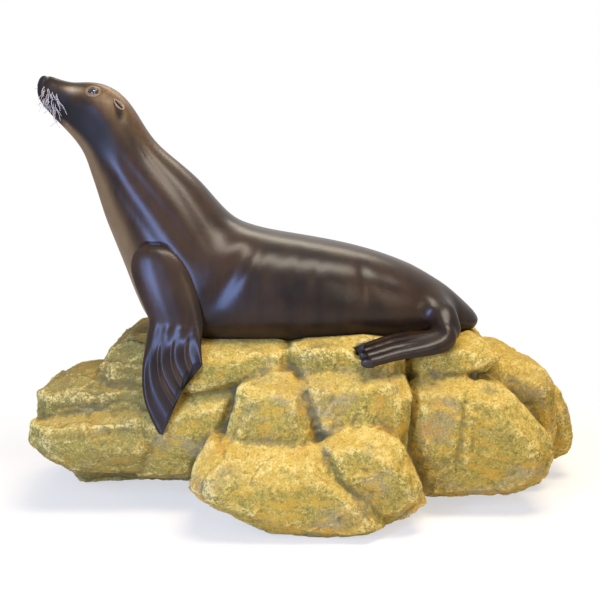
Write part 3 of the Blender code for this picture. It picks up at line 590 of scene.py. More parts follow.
def relaxed(mesh, points, steps, pull):
    """Points drawn towards the average of their neighbours; pull may differ from point to point."""
    edges = np.empty(len(mesh.edges) * 2, np.int64)
    mesh.edges.foreach_get("vertices", edges)
    one, other = edges.reshape(-1, 2).T
    count = len(points)
    start = np.concatenate((one, other))
    end = np.concatenate((other, one))
    neighbours = np.maximum(np.bincount(start, minlength=count), 1)
    points = points.copy()
    for _ in range(steps):
        average = np.stack(
            [np.bincount(start, points[end, axis], count) / neighbours for axis in range(3)], axis=-1
        )
        points += (average - points) * pull
    return points


def bulge(mesh, points, steps, pull):
    """How far each point stands out from the surface relaxed round it."""
    return ((points - relaxed(mesh, points, steps, pull)) * get_normals(mesh)).sum(axis=1)


def refine(obj, chosen):
    """Splits the faces whose centre is chosen into four."""
    maker = bmesh.new()
    maker.from_mesh(obj.data)
    faces = [face for face in maker.faces if chosen(face.calc_center_median())]
    edges = list({edge for face in faces for edge in face.edges})
    bmesh.ops.subdivide_edges(maker, edges=edges, cuts=1, use_grid_fill=True)
    maker.to_mesh(obj.data)
    maker.free()


def store(mesh, name, values):
    """Keeps a value for each point of a mesh, which its paint reads."""
    attribute = mesh.attributes.new(name, "FLOAT", "POINT")
    attribute.data.foreach_set("value", np.asarray(values, np.float32))


def store_masks(mesh, **masks):
    """Keeps every paint mask of the skin; one that isn't given is zero everywhere."""
    for name in MASKS:
        store(mesh, name, np.zeros(len(mesh.vertices)) + masks.get(name, 0.0))


class Socket:
    """An output of a node, which arithmetic can combine into new nodes."""

    def __init__(self, tree, socket):
        self.tree = tree
        self.socket = socket

    def other(self, name):
        """Another output of the same node."""
        return Socket(self.tree, self.socket.node.outputs[name])

    def maths(self, operation, first, second=0.0):
        return self.tree.add("ShaderNodeMath", {0: first, 1: second}, operation=operation)

    def __add__(self, other):
        return self.maths("ADD", self, other)

    def __sub__(self, other):
        return self.maths("SUBTRACT", self, other)

    def __mul__(self, other):
        return self.maths("MULTIPLY", self, other)

    def between(self, low, high):
        """0 below low, 1 above high, and a smooth rise between."""
        inputs = {"Value": self, "From Min": low, "From Max": high}
        return self.tree.add("ShaderNodeMapRange", inputs, interpolation_type="SMOOTHSTEP")


class Tree:
    """A node tree under construction, with one way to add any node."""

    def __init__(self, nodes):
        self.nodes = nodes

    def add(self, kind, inputs=None, output=0, **settings):
        node = self.nodes.nodes.new(kind)
        for name, value in settings.items():
            setattr(node, name, value)
        for name, value in (inputs or {}).items():
            self.feed(node.inputs[name], value)
        return Socket(self, node.outputs[output])

    def feed(self, socket, value):
        """Links a node's output to an input, or sets the input's own value."""
        if isinstance(value, Socket):
            self.nodes.links.new(value.socket, socket)
        else:
            socket.default_value = (*value, 1.0) if socket.type == "RGBA" else value

    def layered(self, colour, *layers):
        """A colour with others laid over it, each by its share."""
        for over, share in layers:
            inputs = {0: share, 6: colour, 7: over}
            colour = self.add("ShaderNodeMix", inputs, 2, data_type="RGBA", clamp_factor=True)
        return colour

    def place(self, shift=(0.0, 0.0, 0.0), stretch=(1.0, 1.0, 1.0)):
        """Object coordinates, moved and stretched."""
        coordinates = self.add("ShaderNodeTexCoord", output="Object")
        inputs = {"Vector": coordinates, "Location": shift, "Scale": stretch}
        return self.add("ShaderNodeMapping", inputs)

    def noise(self, at, scale, detail=3.0, roughness=0.55, output=0):
        inputs = {"Vector": at, "Scale": scale, "Detail": detail, "Roughness": roughness}
        return self.add("ShaderNodeTexNoise", inputs, output)

    def part(self, vector, axis):
        """One of the parts of a vector."""
        return self.add("ShaderNodeSeparateXYZ", {"Vector": vector}, axis)

    def stored(self, name):
        return self.add("ShaderNodeAttribute", output="Fac", attribute_name=name)

    def bump(self, height, distance, strength):
        inputs = {"Height": height, "Distance": distance, "Strength": strength}
        return self.add("ShaderNodeBump", inputs)


class Paint(Tree):
    """A material under construction."""

    def __init__(self, name):
        self.material = bpy.data.materials.new(name)
        self.material.use_nodes = True
        super().__init__(self.material.node_tree)
        self.shader = self.nodes.nodes["Principled BSDF"]

    def finish(self, **sockets):
        """Sets the shader's sockets, and gives the material."""
        for name, value in sockets.items():
            self.feed(self.shader.inputs[name.replace("_", " ")], value)
        return self.material


class Group(Tree):
    """A group of geometry nodes under construction, for a modifier."""

    def __init__(self, name, **kinds):
        super().__init__(bpy.data.node_groups.new(name, "GeometryNodeTree"))
        face = self.nodes.interface
        self.identifiers = {}
        for word, kind in {"geometry": "Geometry", **kinds}.items():
            made = face.new_socket(word, in_out="INPUT", socket_type=f"NodeSocket{kind}")
            self.identifiers[word] = made.identifier
        face.new_socket("geometry", in_out="OUTPUT", socket_type="NodeSocketGeometry")
        self.geometry = self.add("NodeGroupInput", output="geometry")

    def finish(self, geometry, finish):
        """Gives the geometry its material and hands it out."""
        real = self.add("GeometryNodeRealizeInstances", {"Geometry": geometry})
        dressed = self.add("GeometryNodeSetMaterial", {"Geometry": real, "Material": finish})
        self.feed(self.nodes.nodes.new("NodeGroupOutput").inputs[0], dressed)
        return self

    def applied(self, obj, **values):
        """The object with what the group makes of it as its plain mesh."""
        modifier = obj.modifiers.new("nodes", "NODES")
        modifier.node_group = self.nodes
        for name, value in values.items():
            modifier[self.identifiers[name]] = value
        return baked(obj)


# Paint colours, as linear values
BACK_BROWN = (0.0070, 0.0042, 0.0030)
FLANK_BROWN = (0.027, 0.0130, 0.0060)
THROAT_BROWN = (0.185, 0.108, 0.044)
FACE_GOLD = (0.125, 0.069, 0.024)
# Pale paint, also the colour of painted highlights on the snout
PALE_AND_HIGHLIGHT = (0.420, 0.320, 0.200)
# Black of the nose, also the colour of painted shade
NOSE_BLACK_AND_SHADE = (0.0060, 0.0042, 0.0030)
NAIL_AND_REFLECTION_GREY = (0.030, 0.033, 0.040)
OCHRE = (0.415, 0.245, 0.024)
CREAM = (0.620, 0.475, 0.150)
GOLD = (0.470, 0.300, 0.038)
ORANGE = (0.400, 0.190, 0.018)
OLIVE = (0.195, 0.152, 0.022)
SHADED_OLIVE = (0.155, 0.120, 0.030)
STRAW = (0.385, 0.282, 0.050)
DRAB = (0.265, 0.208, 0.092)
SLATE = (0.130, 0.116, 0.050)
DARK_UMBER = (0.075, 0.056, 0.022)
BRISTLE_CREAM = (0.330, 0.290, 0.270)
GLASS_DARK = (0.012, 0.009, 0.009)
GLASS_BROWN = (0.030, 0.022, 0.016)
BRISTLE_STRAW = (0.300, 0.240, 0.170)
FLOOR_WHITE = (0.93, 0.86, 0.73)
WHITE = (1.0, 1.0, 1.0)


def seal_finish():
    """Satin paint over the cast skin: nearly black on the back, warmer on face and throat.
    It also carries painted highlights on the snout, painted shade along the jaw, under and inside the
    ears, round the eyes and on the flippers' end walls, and a painted reflection in the toes' grey.
    """
    paint = Paint("seal_skin_paint")
    at = paint.place()
    broad = paint.noise(at, 3.2, 3.0)
    drawn = paint.noise(paint.place(stretch=(1.0, 1.0, 0.35)), 16.0, 4.0, 0.6)
    grain = paint.noise(at, 210.0, 3.0, 0.6)
    orange_peel = paint.noise(at, 620.0, 2.0, 0.5)
    mottle = paint.noise(at, 46.0, 3.0, 0.6).between(0.30, 0.72)
    face, muzzle = paint.stored("face"), paint.stored("muzzle")
    colour = paint.layered(
        BACK_BROWN,
        (FLANK_BROWN, (broad * 0.6 + drawn * 0.4).between(0.36, 0.66)),
        (THROAT_BROWN, paint.stored("throat") * (drawn * 0.6 + 0.6)),
        # Gold of the face; before the eye its patch is also a painted highlight
        (FACE_GOLD, face * (mottle * 0.45 + 0.55)),
        # Pale paint, and painted highlights on the snout before the eye and behind the nose
        (PALE_AND_HIGHLIGHT, paint.stored("pale") * (mottle * 0.3 + 0.6)),
        # Black of the nose, and painted shade along the jaw, under and inside the ears, round the eyes
        # and on the flippers' end walls
        (NOSE_BLACK_AND_SHADE, muzzle),
        # Grey blue at the ends of the toes: nails, and partly a painted reflection
        (NAIL_AND_REFLECTION_GREY, paint.stored("nail")),
        (THROAT_BROWN, grain.between(0.56, 0.74) * 0.03),
    )
    height = drawn * 0.55 + grain * 0.12 + orange_peel * 0.035
    return paint.finish(
        Base_Color=colour,
        Roughness=drawn * 0.12 + 0.225 + grain * 0.05 + face * 0.14 + muzzle * 0.36,
        Normal=paint.bump(height, 0.0020, 0.50),
        Specular_IOR_Level=0.20,
    )


def rock_finish():
    """Cast sandstone: gold and cream on top, olive and grey down the sides, dark in the joints.
    Top and sides differ partly as painted light from above, and the left boulder has painted shade.
    """
    paint = Paint("sandstone_paint")
    at = paint.place()
    patches = paint.noise(at, 4.2, 4.0, 0.60)
    stains = paint.noise(paint.place(shift=(3.1, 1.7, 0.4)), 6.5, 4.0, 0.62)
    streaks = paint.noise(paint.place(shift=(0.6, 2.2, 5.0), stretch=(1.0, 1.0, 2.2)), 11.0, 5.0, 0.68)
    mottle = paint.noise(at, 56.0, 6.0, 0.74)
    flecks = paint.noise(paint.place(shift=(1.3, 0.2, 2.4)), 150.0, 5.0, 0.76)
    grain = paint.noise(at, 240.0, 3.0, 0.70)
    edge, groove, chip = (paint.stored(name) for name in ("edge", "groove", "chip"))
    across, high = (paint.part(at, axis) for axis in "XZ")
    up = paint.stored("up") + (streaks - 0.5) * 0.9 + (mottle - 0.5) * 0.6
    # Olive down the sides and gold and cream on faces turned up: partly the paint, partly painted
    # light from above
    side_paint_and_shade = paint.layered(
        OLIVE,
        (STRAW, (mottle * 0.6 + flecks * 0.4).between(0.40, 0.62)),
        (DRAB, patches.between(0.50, 0.62) * 0.75),
        (OCHRE, streaks.between(0.48, 0.62) * 0.85),
    )
    top_paint_and_light = paint.layered(
        GOLD,
        (CREAM, (mottle * 0.55 + flecks * 0.45).between(0.42, 0.64)),
        (OCHRE, patches.between(0.50, 0.64) * 0.60),
        (side_paint_and_shade, high.between(0.34, 0.56) * 0.45),
    )
    left_end = across.between(-0.42, -0.62)
    head_end = across.between(-0.53, -0.64) * high.between(0.33, 0.43)
    brushed = (mottle * 0.5 + flecks * 0.5).between(0.45, 0.56)
    colour = paint.layered(
        side_paint_and_shade,
        (top_paint_and_light, up.between(0.15, 0.80)),
        (SHADED_OLIVE, left_end * (streaks * 0.6 + 0.08)),
        (SHADED_OLIVE, head_end * (streaks * 0.8 + 0.15)),
        (ORANGE, stains.between(0.56, 0.72) * 0.60),
        (SLATE, stains.between(0.44, 0.30) * 0.55),
        (CREAM, edge * brushed * 0.75),
        (CREAM, chip.between(0.30, 1.0) * brushed * 0.45),
        (CREAM, flecks.between(0.57, 0.66) * 0.60),
        (SLATE, groove * (mottle * 0.6 + 0.55)),
        # Darker umber deep in the joints, in small hollows and in scattered specks
        (DARK_UMBER, groove.between(0.45, 1.0) * 0.55),
        (DARK_UMBER, (chip * -1.0).between(0.20, 0.90) * 0.42),
        (DARK_UMBER, flecks.between(0.45, 0.33) * 0.66),
        (DARK_UMBER, grain.between(0.40, 0.24) * 0.50),
    )
    return paint.finish(
        Base_Color=colour,
        Roughness=grain * 0.25 + 0.70,
        Normal=paint.bump(mottle + flecks * 0.55 + grain * 0.18, 0.0060, 0.80),
        Specular_IOR_Level=0.25,
    )


def glass_finish():
    paint = Paint("eye_glass_finish")
    depth = paint.noise(paint.place(), 120.0, 2.0)
    return paint.finish(
        Base_Color=paint.layered(GLASS_DARK, (GLASS_BROWN, depth.between(0.4, 0.7))),
        Roughness=0.08,
        Specular_IOR_Level=0.4,
        Coat_Weight=0.3,
        Coat_Roughness=0.02,
    )


def bristle_finish():
    paint = Paint("bristle_finish")
    bands = paint.noise(paint.place(), 260.0, 3.0, 0.6)
    return paint.finish(
        Base_Color=paint.layered(BRISTLE_CREAM, (BRISTLE_STRAW, bands.between(0.50, 0.75))),
        Roughness=bands * 0.15 + 0.40,
    )


def press_onto_drawing(obj, torso, hinds):
    """Presses the wrapped mesh onto the drawn skins, with a soft blend where limbs leave."""
    mesh = obj.data
    points = get_points(mesh)
    on_torso, torso_gap, rows, turns = torso.nearest(points)
    on_hind = np.empty_like(points)
    hind_gap = np.full(len(points), 1.0)
    hind_rows = np.zeros(len(points))
    for side, _ in SIDES:
        on_side = (points[:, 1] < PLACE[1]) == (side < 0)
        chosen = np.flatnonzero(on_side & (points[:, 0] > 0.05))
        on_hind[chosen], hind_gap[chosen], hind_rows[chosen], _ = hinds[side].nearest(points[chosen])
    on_limb = hind_gap < torso_gap
    pressed = np.where(on_limb[:, None], on_hind, on_torso)
    both = np.maximum(torso_gap, hind_gap)
    near_hip = (1 - ease(0.010, 0.050, both)) * ease(0.33, 0.37, points[:, 0])
    pressed = relaxed(mesh, pressed, 70, (near_hip * 0.6)[:, None])
    set_points(mesh, relaxed(mesh, pressed, 2, 0.35))
    return rows, turns, on_limb, hind_rows


def paint_masks(mesh, rows, turns, on_limb, hind_rows):
    """Where the body is painted otherwise: gold face, pale throat, black nose and nails.
    The masks also hold painted highlights on the snout, painted shade along the jaw and under the
    ears, and a painted reflection in the nails' grey.
    """
    degrees = np.degrees(turns)
    low_edge = 58 + 3 * (rows - 5.5)
    face = hump(rows, 6.5, 1.5) * (1 - ease(-12, 18, degrees - low_edge)) * ease(4.2, 5.2, rows)
    face += 0.30 * hump(rows, 9.2, 1.8) * (1 - ease(30, 55, degrees))
    nose = 1 - ease(1.15, 1.45, rows)
    pad = (1 - ease(3.6, 4.6, rows)) * ease(46, 70, degrees) * 0.9
    # Painted shade: a dark band along the jaw
    jaw_shade = ease(66, 88, degrees) * (1 - ease(108, 128, degrees)) * (1 - ease(7.4, 9.7, rows))
    throat = ease(108, 134, degrees) * ease(1.8, 3.2, rows) * (1 - ease(12.5, 16.0, rows))
    belly = ease(112, 140, degrees) * ease(12.0, 14.0, rows)
    masks = {"face": face, "pale": 0.0, "throat": throat * 0.9 + belly * 0.10}
    masks["muzzle"] = nose + pad + 0.95 * jaw_shade
    for name, strength, *spot in PAINTED_LIGHT_PATCHES:
        masks[name] = masks[name] + strength * patch(rows, degrees, *spot)
    masks = {name: np.clip(mask, 0, 1) * ~on_limb for name, mask in masks.items()}
    store_masks(mesh, nail=ease(11.2, 11.6, hind_rows) * 0.6 * on_limb, **masks)


def ear_flap(torso, side):
    """A rolled leaf of an ear that lies along the head, hollowed along its outer side."""
    spot, normal = torso.spot(*EAR_SPOT, side)
    along = np.array((math.cos(EAR_POINTS_DOWN), 0, -math.sin(EAR_POINTS_DOWN)))
    along = unit(along - normal * along.dot(normal))
    across = np.cross(normal, along)
    stations = np.linspace(0.02, 0.985, 40)[:, None]
    turns = turns_round(40)
    reach = np.sin(math.pi * stations ** EAR_TAPER) ** 0.7
    lift = normal * (EAR_THICKNESS * EAR_LIFT * stations ** EAR_TAPER)[..., None]
    centre = spot + along * (EAR_LENGTH * (stations - 0.5))[..., None] + lift
    hollow = EAR_HOLLOW * hump(np.cos(turns), -0.1, 0.50) * (np.sin(turns) > 0)
    inside_ends = ease(0.05, 0.30, stations) * (1 - ease(0.80, 0.97, stations))
    hollow = hollow * np.sin(turns) ** 2 * inside_ends
    width = np.cos(turns) * EAR_WIDTH / 2 * reach
    height = (np.sin(turns) - hollow * 2.0) * EAR_THICKNESS / 2 * reach
    grid = centre + across * width[..., None] + normal * height[..., None]
    return loft(grid, "ear"), grid[hollow > EAR_HOLLOW_SEEN]


def eyelids(torso, centre, normal):
    """A raised rim of skin round the eye, almond shaped and rolled over onto the ball."""
    along = np.array((1.0, 0, -EYE_SLANT))
    along = unit(along - normal * normal.dot(along))
    up = np.cross(normal, along)
    up = up * math.copysign(1, up[2])
    turns = turns_round(96)
    rear, front = EYE_WIDTHS
    over, under = EYE_HEIGHTS
    edge_x = np.cos(turns) * np.where(np.cos(turns) > 0, rear, front)
    edge_y = np.sign(np.sin(turns)) * np.abs(np.sin(turns)) ** 1.12
    edge_y = edge_y * np.where(np.sin(turns) > 0, over, under)
    points = []
    for scale, follows, offset in EYELID_RINGS:
        for x, y in zip(edge_x * scale, edge_y * scale):
            start = centre + along * x + up * y
            hit = torso.tree.ray_cast(Vector(start + normal * 0.06), Vector(-normal), 0.12)[0]
            skin = (np.array(hit) - start).dot(normal) if hit else 0.012
            ball = math.sqrt(max((EYE_RADIUS + offset) ** 2 - x * x - y * y, 1e-8))
            height = {
                "ball": max(ball, skin + 0.0008 + offset * 0.5),
                "slope": max(skin + (ball - skin) * 0.25, skin) + offset,
                "skin": skin + offset,
            }[follows]
            points.append(start + normal * height)
    faces = grid_quads(len(EYELID_RINGS) + 1, len(turns)) % len(points)
    return mesh_object("eyelids", points, faces)


def toe_bulbs(hind):
    """The rounded ends of the toes, bedded in the end of a hind flipper."""
    made = []
    ring = int(np.argmin(np.abs(hind.positions - TOE_BULB_ROW)))
    stations = np.linspace(0.01, 0.99, 28)[:, None]
    reach = (1 - np.abs(2 * stations - 1) ** TOE_BULB_FULLNESS) ** (1 / TOE_BULB_FULLNESS)
    turns = turns_round(32)
    for toe in range(TOES):
        across = (2 * toe + 1) / TOES - 1
        turn = math.acos(math.copysign(abs(across) ** (FOOT_FULLNESS / 2), across))
        step = int(round(turn / (2 * math.pi) * hind.count)) % hind.count
        upper, lower = hind.grid[ring, step], hind.grid[ring, -step]
        forward = unit(hind.grid[ring + 2, step] - hind.grid[ring - 2, step])
        thick = (upper - lower) / 2
        beside = unit(np.cross(forward, thick))
        centre = (upper + lower) / 2 + forward * (TOE_BULB_LENGTH * (stations - 0.5))[..., None]
        grid = centre + beside * (np.cos(turns) * TOE_BULB_WIDTH / 2 * reach)[..., None]
        grid = grid + thick * (np.sin(turns) * TOE_BULB_SWELL * reach)[..., None]
        made.append(loft(grid, "toe"))
    return made


def make_skin(torso, hinds, finish):
    """The whole casting of the body, with hind flippers, toes, ears and eyelids."""
    blocks = [loft(torso.grid[::3, ::3], "torso")]
    blocks += [loft(hinds[side].grid[::2, ::2], "hind") for side, _ in SIDES]
    skin = wrapped(joined("sea_lion_skin", blocks), SKIN_CELL)
    eyes = {side: eye_spot(side) for side, _ in SIDES}

    def chosen(at, box):
        place = (at.x, abs(at.y - PLACE[1]), at.z)
        if all(low < value < high for value, (low, high) in zip(place, box)):
            return True
        off_eyes = min((at - Vector(spot)).length for spot, _ in eyes.values())
        return box is MUZZLE_BOX and off_eyes < ROUND_EYE

    for box in (NECK_BOX, MUZZLE_BOX, FOOT_BOX, SHOULDER_BOX):
        refine(skin, lambda at: chosen(at, box))
    paint_masks(skin.data, *press_onto_drawing(skin, torso, hinds))
    extras = []
    for side, _ in SIDES:
        ear, inside = ear_flap(torso, side)
        off_inside = get_points(ear.data)[:, None] - inside[None]
        in_hollow = np.linalg.norm(off_inside, axis=-1).min(axis=1) < 1e-5
        # The ear is gold and pale outside; painted shade fills its hollow
        store_masks(ear.data, face=1.0, pale=0.35 * ~in_hollow, muzzle=0.9 * in_hollow)
        spot, normal = eyes[side]
        centre = spot - normal * (EYE_RADIUS - EYE_STANDS_OUT)
        lids = eyelids(torso, centre, normal)
        reach = np.linalg.norm(get_points(lids.data) - centre - normal * EYE_RADIUS, axis=1)
        # The lids are gold with a pale rim; outside it lies a ring of painted shade
        rim, outer = 1 - ease(0.024, 0.029, reach), ease(0.026, 0.031, reach)
        store_masks(lids.data, face=1.0, pale=0.26 * rim, muzzle=0.45 * outer)
        toes = toe_bulbs(hinds[side])
        for toe in toes:
            # The toe bulbs' ends take the nails' grey blue, partly a painted reflection
            store_masks(toe.data, nail=0.35)
        extras += [ear, lids, *toes]
    return painted(joined("sea_lion_skin", [skin, *extras]), finish)


def eye_spot(side):
    """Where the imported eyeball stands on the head, and its outward direction."""
    low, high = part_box("eye_left" if side < 0 else "eye_right")
    centre = np.array((low + high) / 2)
    _, normal = PLAIN_HEAD.spot(*EYE_SPOT, side)
    return centre + normal * (EYE_RADIUS - EYE_STANDS_OUT), normal


def curve_points(rows, shares):
    return rows_along(rows, np.asarray(shares) * (len(rows) - 1))


def digit_relief(across, along):
    """How far each digit's ridge stands over the web: a long slope up, then a short one down."""
    digits = len(DIGIT_ENDS) - 1
    place = across * digits
    after = place - np.floor(place)
    steep = np.where(place < 1, 0.55, 0.26)
    down = 1 - ease(0, steep, after)
    saw = np.where(after < steep, down, np.clip((after - steep) / (1 - steep), 0, 1) ** 1.7)
    return (saw - 0.42) * ease(0.22, 0.62, along)


def rounded_tip(middle, tip):
    """The blade's middle surface, its corner at the first digit drawn in to an arc."""
    centre = tip + np.array((0, 0, BLADE_TIP_RADIUS / math.sin(BLADE_TIP_HALF_ANGLE)))
    off_centre = (middle - centre) * (1, 0, 1)
    reach = np.maximum(np.linalg.norm(off_centre, axis=-1), 1e-9)
    below = -off_centre[..., 2] > BLADE_TIP_RADIUS * math.sin(BLADE_TIP_HALF_ANGLE)
    kept = (BLADE_TIP_RADIUS + (reach - BLADE_TIP_RADIUS) * TIP_REMAINDER) / reach
    kept = np.where((reach > BLADE_TIP_RADIUS) & below, kept, 1.0)
    return middle + off_centre * (kept - 1.0)[..., None]


def flipper_grid(side, arm_steps, blade_steps, points_round):
    """Sections of a front flipper from the shoulder to the ends of the digits."""
    turns = turns_round(points_round)
    across = (1 - np.cos(turns)) / 2
    arm = rows_along(ARM_SECTIONS, np.arange((len(ARM_SECTIONS) - 1) * arm_steps) / arm_steps)
    wrist = np.array(ARM_SECTIONS[-1])

    def edge(rows, x, z):
        return np.stack((rows[..., x], side * rows[..., 4], rows[..., z]), axis=-1)

    def in_space(*drawn):
        """Points of the blade, further off the midline the lower they lie."""
        x, z = np.array(drawn).T
        share = np.clip((wrist[1] - z) / (wrist[1] - DIGIT_ENDS[0][1]), 0, 1)
        off = wrist[4] + (BLADE_TIP_OFF_MIDLINE - wrist[4]) * share
        return np.stack((x, side * off, z), axis=-1)

    def between(first, last):
        """Points from one edge to the other, for each point of a ring."""
        return first[..., None, :] + (last - first)[..., None, :] * across[:, None]

    leading = np.vstack((edge(wrist, 0, 1), in_space(*BLADE_LEADING, DIGIT_ENDS[0])))
    trailing = np.vstack((edge(wrist, 2, 3), in_space(*BLADE_TRAILING, DIGIT_ENDS[-1])))
    ends = in_space(*DIGIT_ENDS)
    digits = len(ends) - 1
    on_wrist = between(leading[0], trailing[0])
    on_ends = curve_points(ends, across)
    notch = WEB_NOTCH * np.abs(np.sin(math.pi * across * digits)) ** 1.5
    on_ends = on_ends + unit(on_wrist - on_ends) * notch[:, None]
    alongs = np.arange(blade_steps + 1) / blade_steps
    share = alongs[:, None, None]
    blade = between(curve_points(leading, alongs), curve_points(trailing, alongs))
    blade = blade + (on_wrist + (on_ends - on_wrist) * share)
    blade = blade - (on_wrist + (between(ends[0], ends[-1]) - on_wrist) * share)
    middle = np.concatenate((between(edge(arm, 0, 1), edge(arm, 2, 3)), blade))
    middle = rounded_tip(middle, ends[0])
    thickness = wrist[5] + (BLADE_EDGE_THICKNESS - wrist[5]) * (1 - (1 - alongs) ** 2)
    thickness = np.concatenate((arm[:, 5], thickness))[:, None]
    along = np.concatenate((np.zeros(len(arm)), alongs))[:, None]
    turned_out = BLADE_TURNS_OUT * np.sin(math.pi * along / 2) * (across - BLADE_TURNS_ABOUT)
    over_bones = 0.5 - 0.5 * np.cos(2 * math.pi * across * digits)
    knuckles = (0.0006 + 0.0026 * over_bones) * hump(along, 0.10, 0.07)
    knuckles = knuckles + 0.0018 * hump(along, 0.27, 0.10) * over_bones
    relief = (DIGIT_HEIGHT * digit_relief(across, along) + knuckles) * ease(0.05, 0.50, np.sin(turns))
    proud = power_wave(np.sin(turns), 2.6) * thickness / 2 + relief + turned_out
    grid = middle + np.array((0, side, 0.0)) * proud[..., None]
    eased = eased_along(grid, 2.5)
    return eased + (grid - eased) * ease(0.75, 0.92, along)[..., None] + PLACE


def make_flipper(side, word, torso_cutter, finish):
    """A front flipper, cut to lie on the body with the seam's gap."""
    grid = flipper_grid(side, *FLIPPER_LOFT)
    flipper = loft(grid, f"flipper_skin_{word}")
    cut = flipper.modifiers.new("seam", "BOOLEAN")
    cut.operation = "DIFFERENCE"
    cut.solver = "EXACT"
    cut.object = torso_cutter
    mesh = baked(flipper).data
    mesh.shade_smooth()
    mesh.set_sharp_from_angle(angle=math.radians(50))
    # Painted shade: the blade's end wall is painted black
    end_wall = BVHTree.FromPolygons(grid[-1].tolist(), [tuple(range(grid.shape[1]))])
    off_wall = np.array([end_wall.find_nearest(Vector(point))[3] for point in get_points(mesh)])
    store_masks(mesh, muzzle=1 - ease(0.0005, 0.0030, off_wall))
    return painted(flipper, finish)


def sink_seam(skin, flippers):
    """Lets the body dip under the edge of each flipper, so that the seam shows as a dark line."""
    points = get_points(skin.data)
    sunk = np.zeros(len(points))
    for flipper in flippers:
        tree = surface_tree(flipper)
        for index in np.flatnonzero((points[:, 0] < -0.30) & (points[:, 2] < 1.0)):
            distance = tree.find_nearest(Vector(points[index]), 0.014)[3]
            if distance is not None:
                sunk[index] = max(sunk[index], 1 - ease(0.003, 0.010, distance))
    sunk *= ease(0.70, 0.88, points[:, 2]) * (1 - 0.85 * ease(-0.50, -0.45, points[:, 0]))
    set_points(skin.data, points - get_normals(skin.data) * sunk[:, None] * SEAM_DEPTH)


def make_eye(word, finish):
    low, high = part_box(f"eye_{word}")
    name = f"eye_glass_{word}"
    maker = bmesh.new()
    bmesh.ops.create_icosphere(maker, subdivisions=5, radius=EYE_RADIUS)
    bmesh.ops.translate(maker, verts=maker.verts, vec=(low + high) / 2)
    return painted(new_object(name, filled(bpy.data.meshes.new(name), maker)), finish)


def whisker_paths(side):
    """The bristles' lines: they fan down and back on the left side, and forward on the right."""
    paths = []
    for row in range(WHISKER_ROWS):
        for column in range(WHISKERS_IN_ROW):
            back = column / (WHISKERS_IN_ROW - 1)
            down = row / (WHISKER_ROWS - 1)
            at_row = PAD_ROWS[0] + (PAD_ROWS[1] - PAD_ROWS[0]) * back + PAD_STAGGER * (row % 2)
            at_turn = PAD_TURNS[0] + (PAD_TURNS[1] - PAD_TURNS[0]) * down
            spot, normal = PLAIN_HEAD.spot(at_row, at_turn, side)
            varied = random.Random(100 * row + 10 * column + side)
            for extra in range(BRISTLES_PER_WHISKER):
                length = WHISKER_LENGTH * (0.62 + 0.30 * back) * varied.uniform(0.70, 1.20)
                length *= WHISKER_SIDE_LENGTHS[side]
                if extra:
                    length *= varied.uniform(0.45, 0.75)
                    shift = np.array((varied.uniform(-1, 1), 0, varied.uniform(-1, 1))) * 0.007
                    spot = spot + shift - normal * shift.dot(normal)
                forward = WHISKER_SWEEPS[side] + 0.75 * back + varied.uniform(-0.28, 0.28)
                drop = LEFT_DROP if side < 0 else varied.uniform(*RIGHT_DROPS)
                fan = unit(np.array((forward, side * 0.34, drop)))
                elbow = spot + normal * length * varied.uniform(0.20, 0.34)
                elbow = elbow + np.array((varied.uniform(-0.16, 0.16), 0, -0.14)) * length
                tip = elbow + (fan * 0.80 + normal * 0.08) * length
                root = spot - normal * 0.004
                shares = np.linspace(0, 1, 15)[:, None]
                line = (1 - shares) ** 2 * root + 2 * shares * (1 - shares) * elbow + shares ** 2 * tip
                across = unit(np.cross(tip - root, normal))
                wave = np.sin(shares * math.pi * varied.uniform(*WAVES) + varied.uniform(0, 6))
                paths.append(line + across * wave * shares * length * WAVE_HEIGHT)
    return paths


def bristle_group(finish):
    """Geometry nodes that turn drawn lines into tapered bristles."""
    group = Group("bristles", root_radius="Float", tip_radius="Float", sides="Int")
    given = group.geometry.other
    root, tip = given("root_radius"), given("tip_radius")
    radius = root + (tip - root) * group.add("GeometryNodeSplineParameter")
    lines = group.add("GeometryNodeMeshToCurve", {"Mesh": group.geometry})
    tapered = group.add("GeometryNodeSetCurveRadius", {"Curve": lines, "Radius": radius})
    circle = {"Resolution": given("sides"), "Radius": 1.0}
    ring = group.add("GeometryNodeCurvePrimitiveCircle", circle)
    tube = {"Curve": tapered, "Profile Curve": ring, "Scale": radius, "Fill Caps": True}
    return group.finish(group.add("GeometryNodeCurveToMesh", tube), finish)


def make_whiskers(side, word, group):
    points, edges = [], []
    for path in whisker_paths(side):
        first = len(points)
        points += path.tolist()
        edges += [(first + step, first + step + 1) for step in range(len(path) - 1)]
    name = f"whiskers_{word}"
    mesh = bpy.data.meshes.new(name)
    mesh.from_pydata(points, edges, [])
    obj = group.applied(new_object(name, mesh), **BRISTLE_SHAPE)
    obj.data.shade_smooth()
    return obj


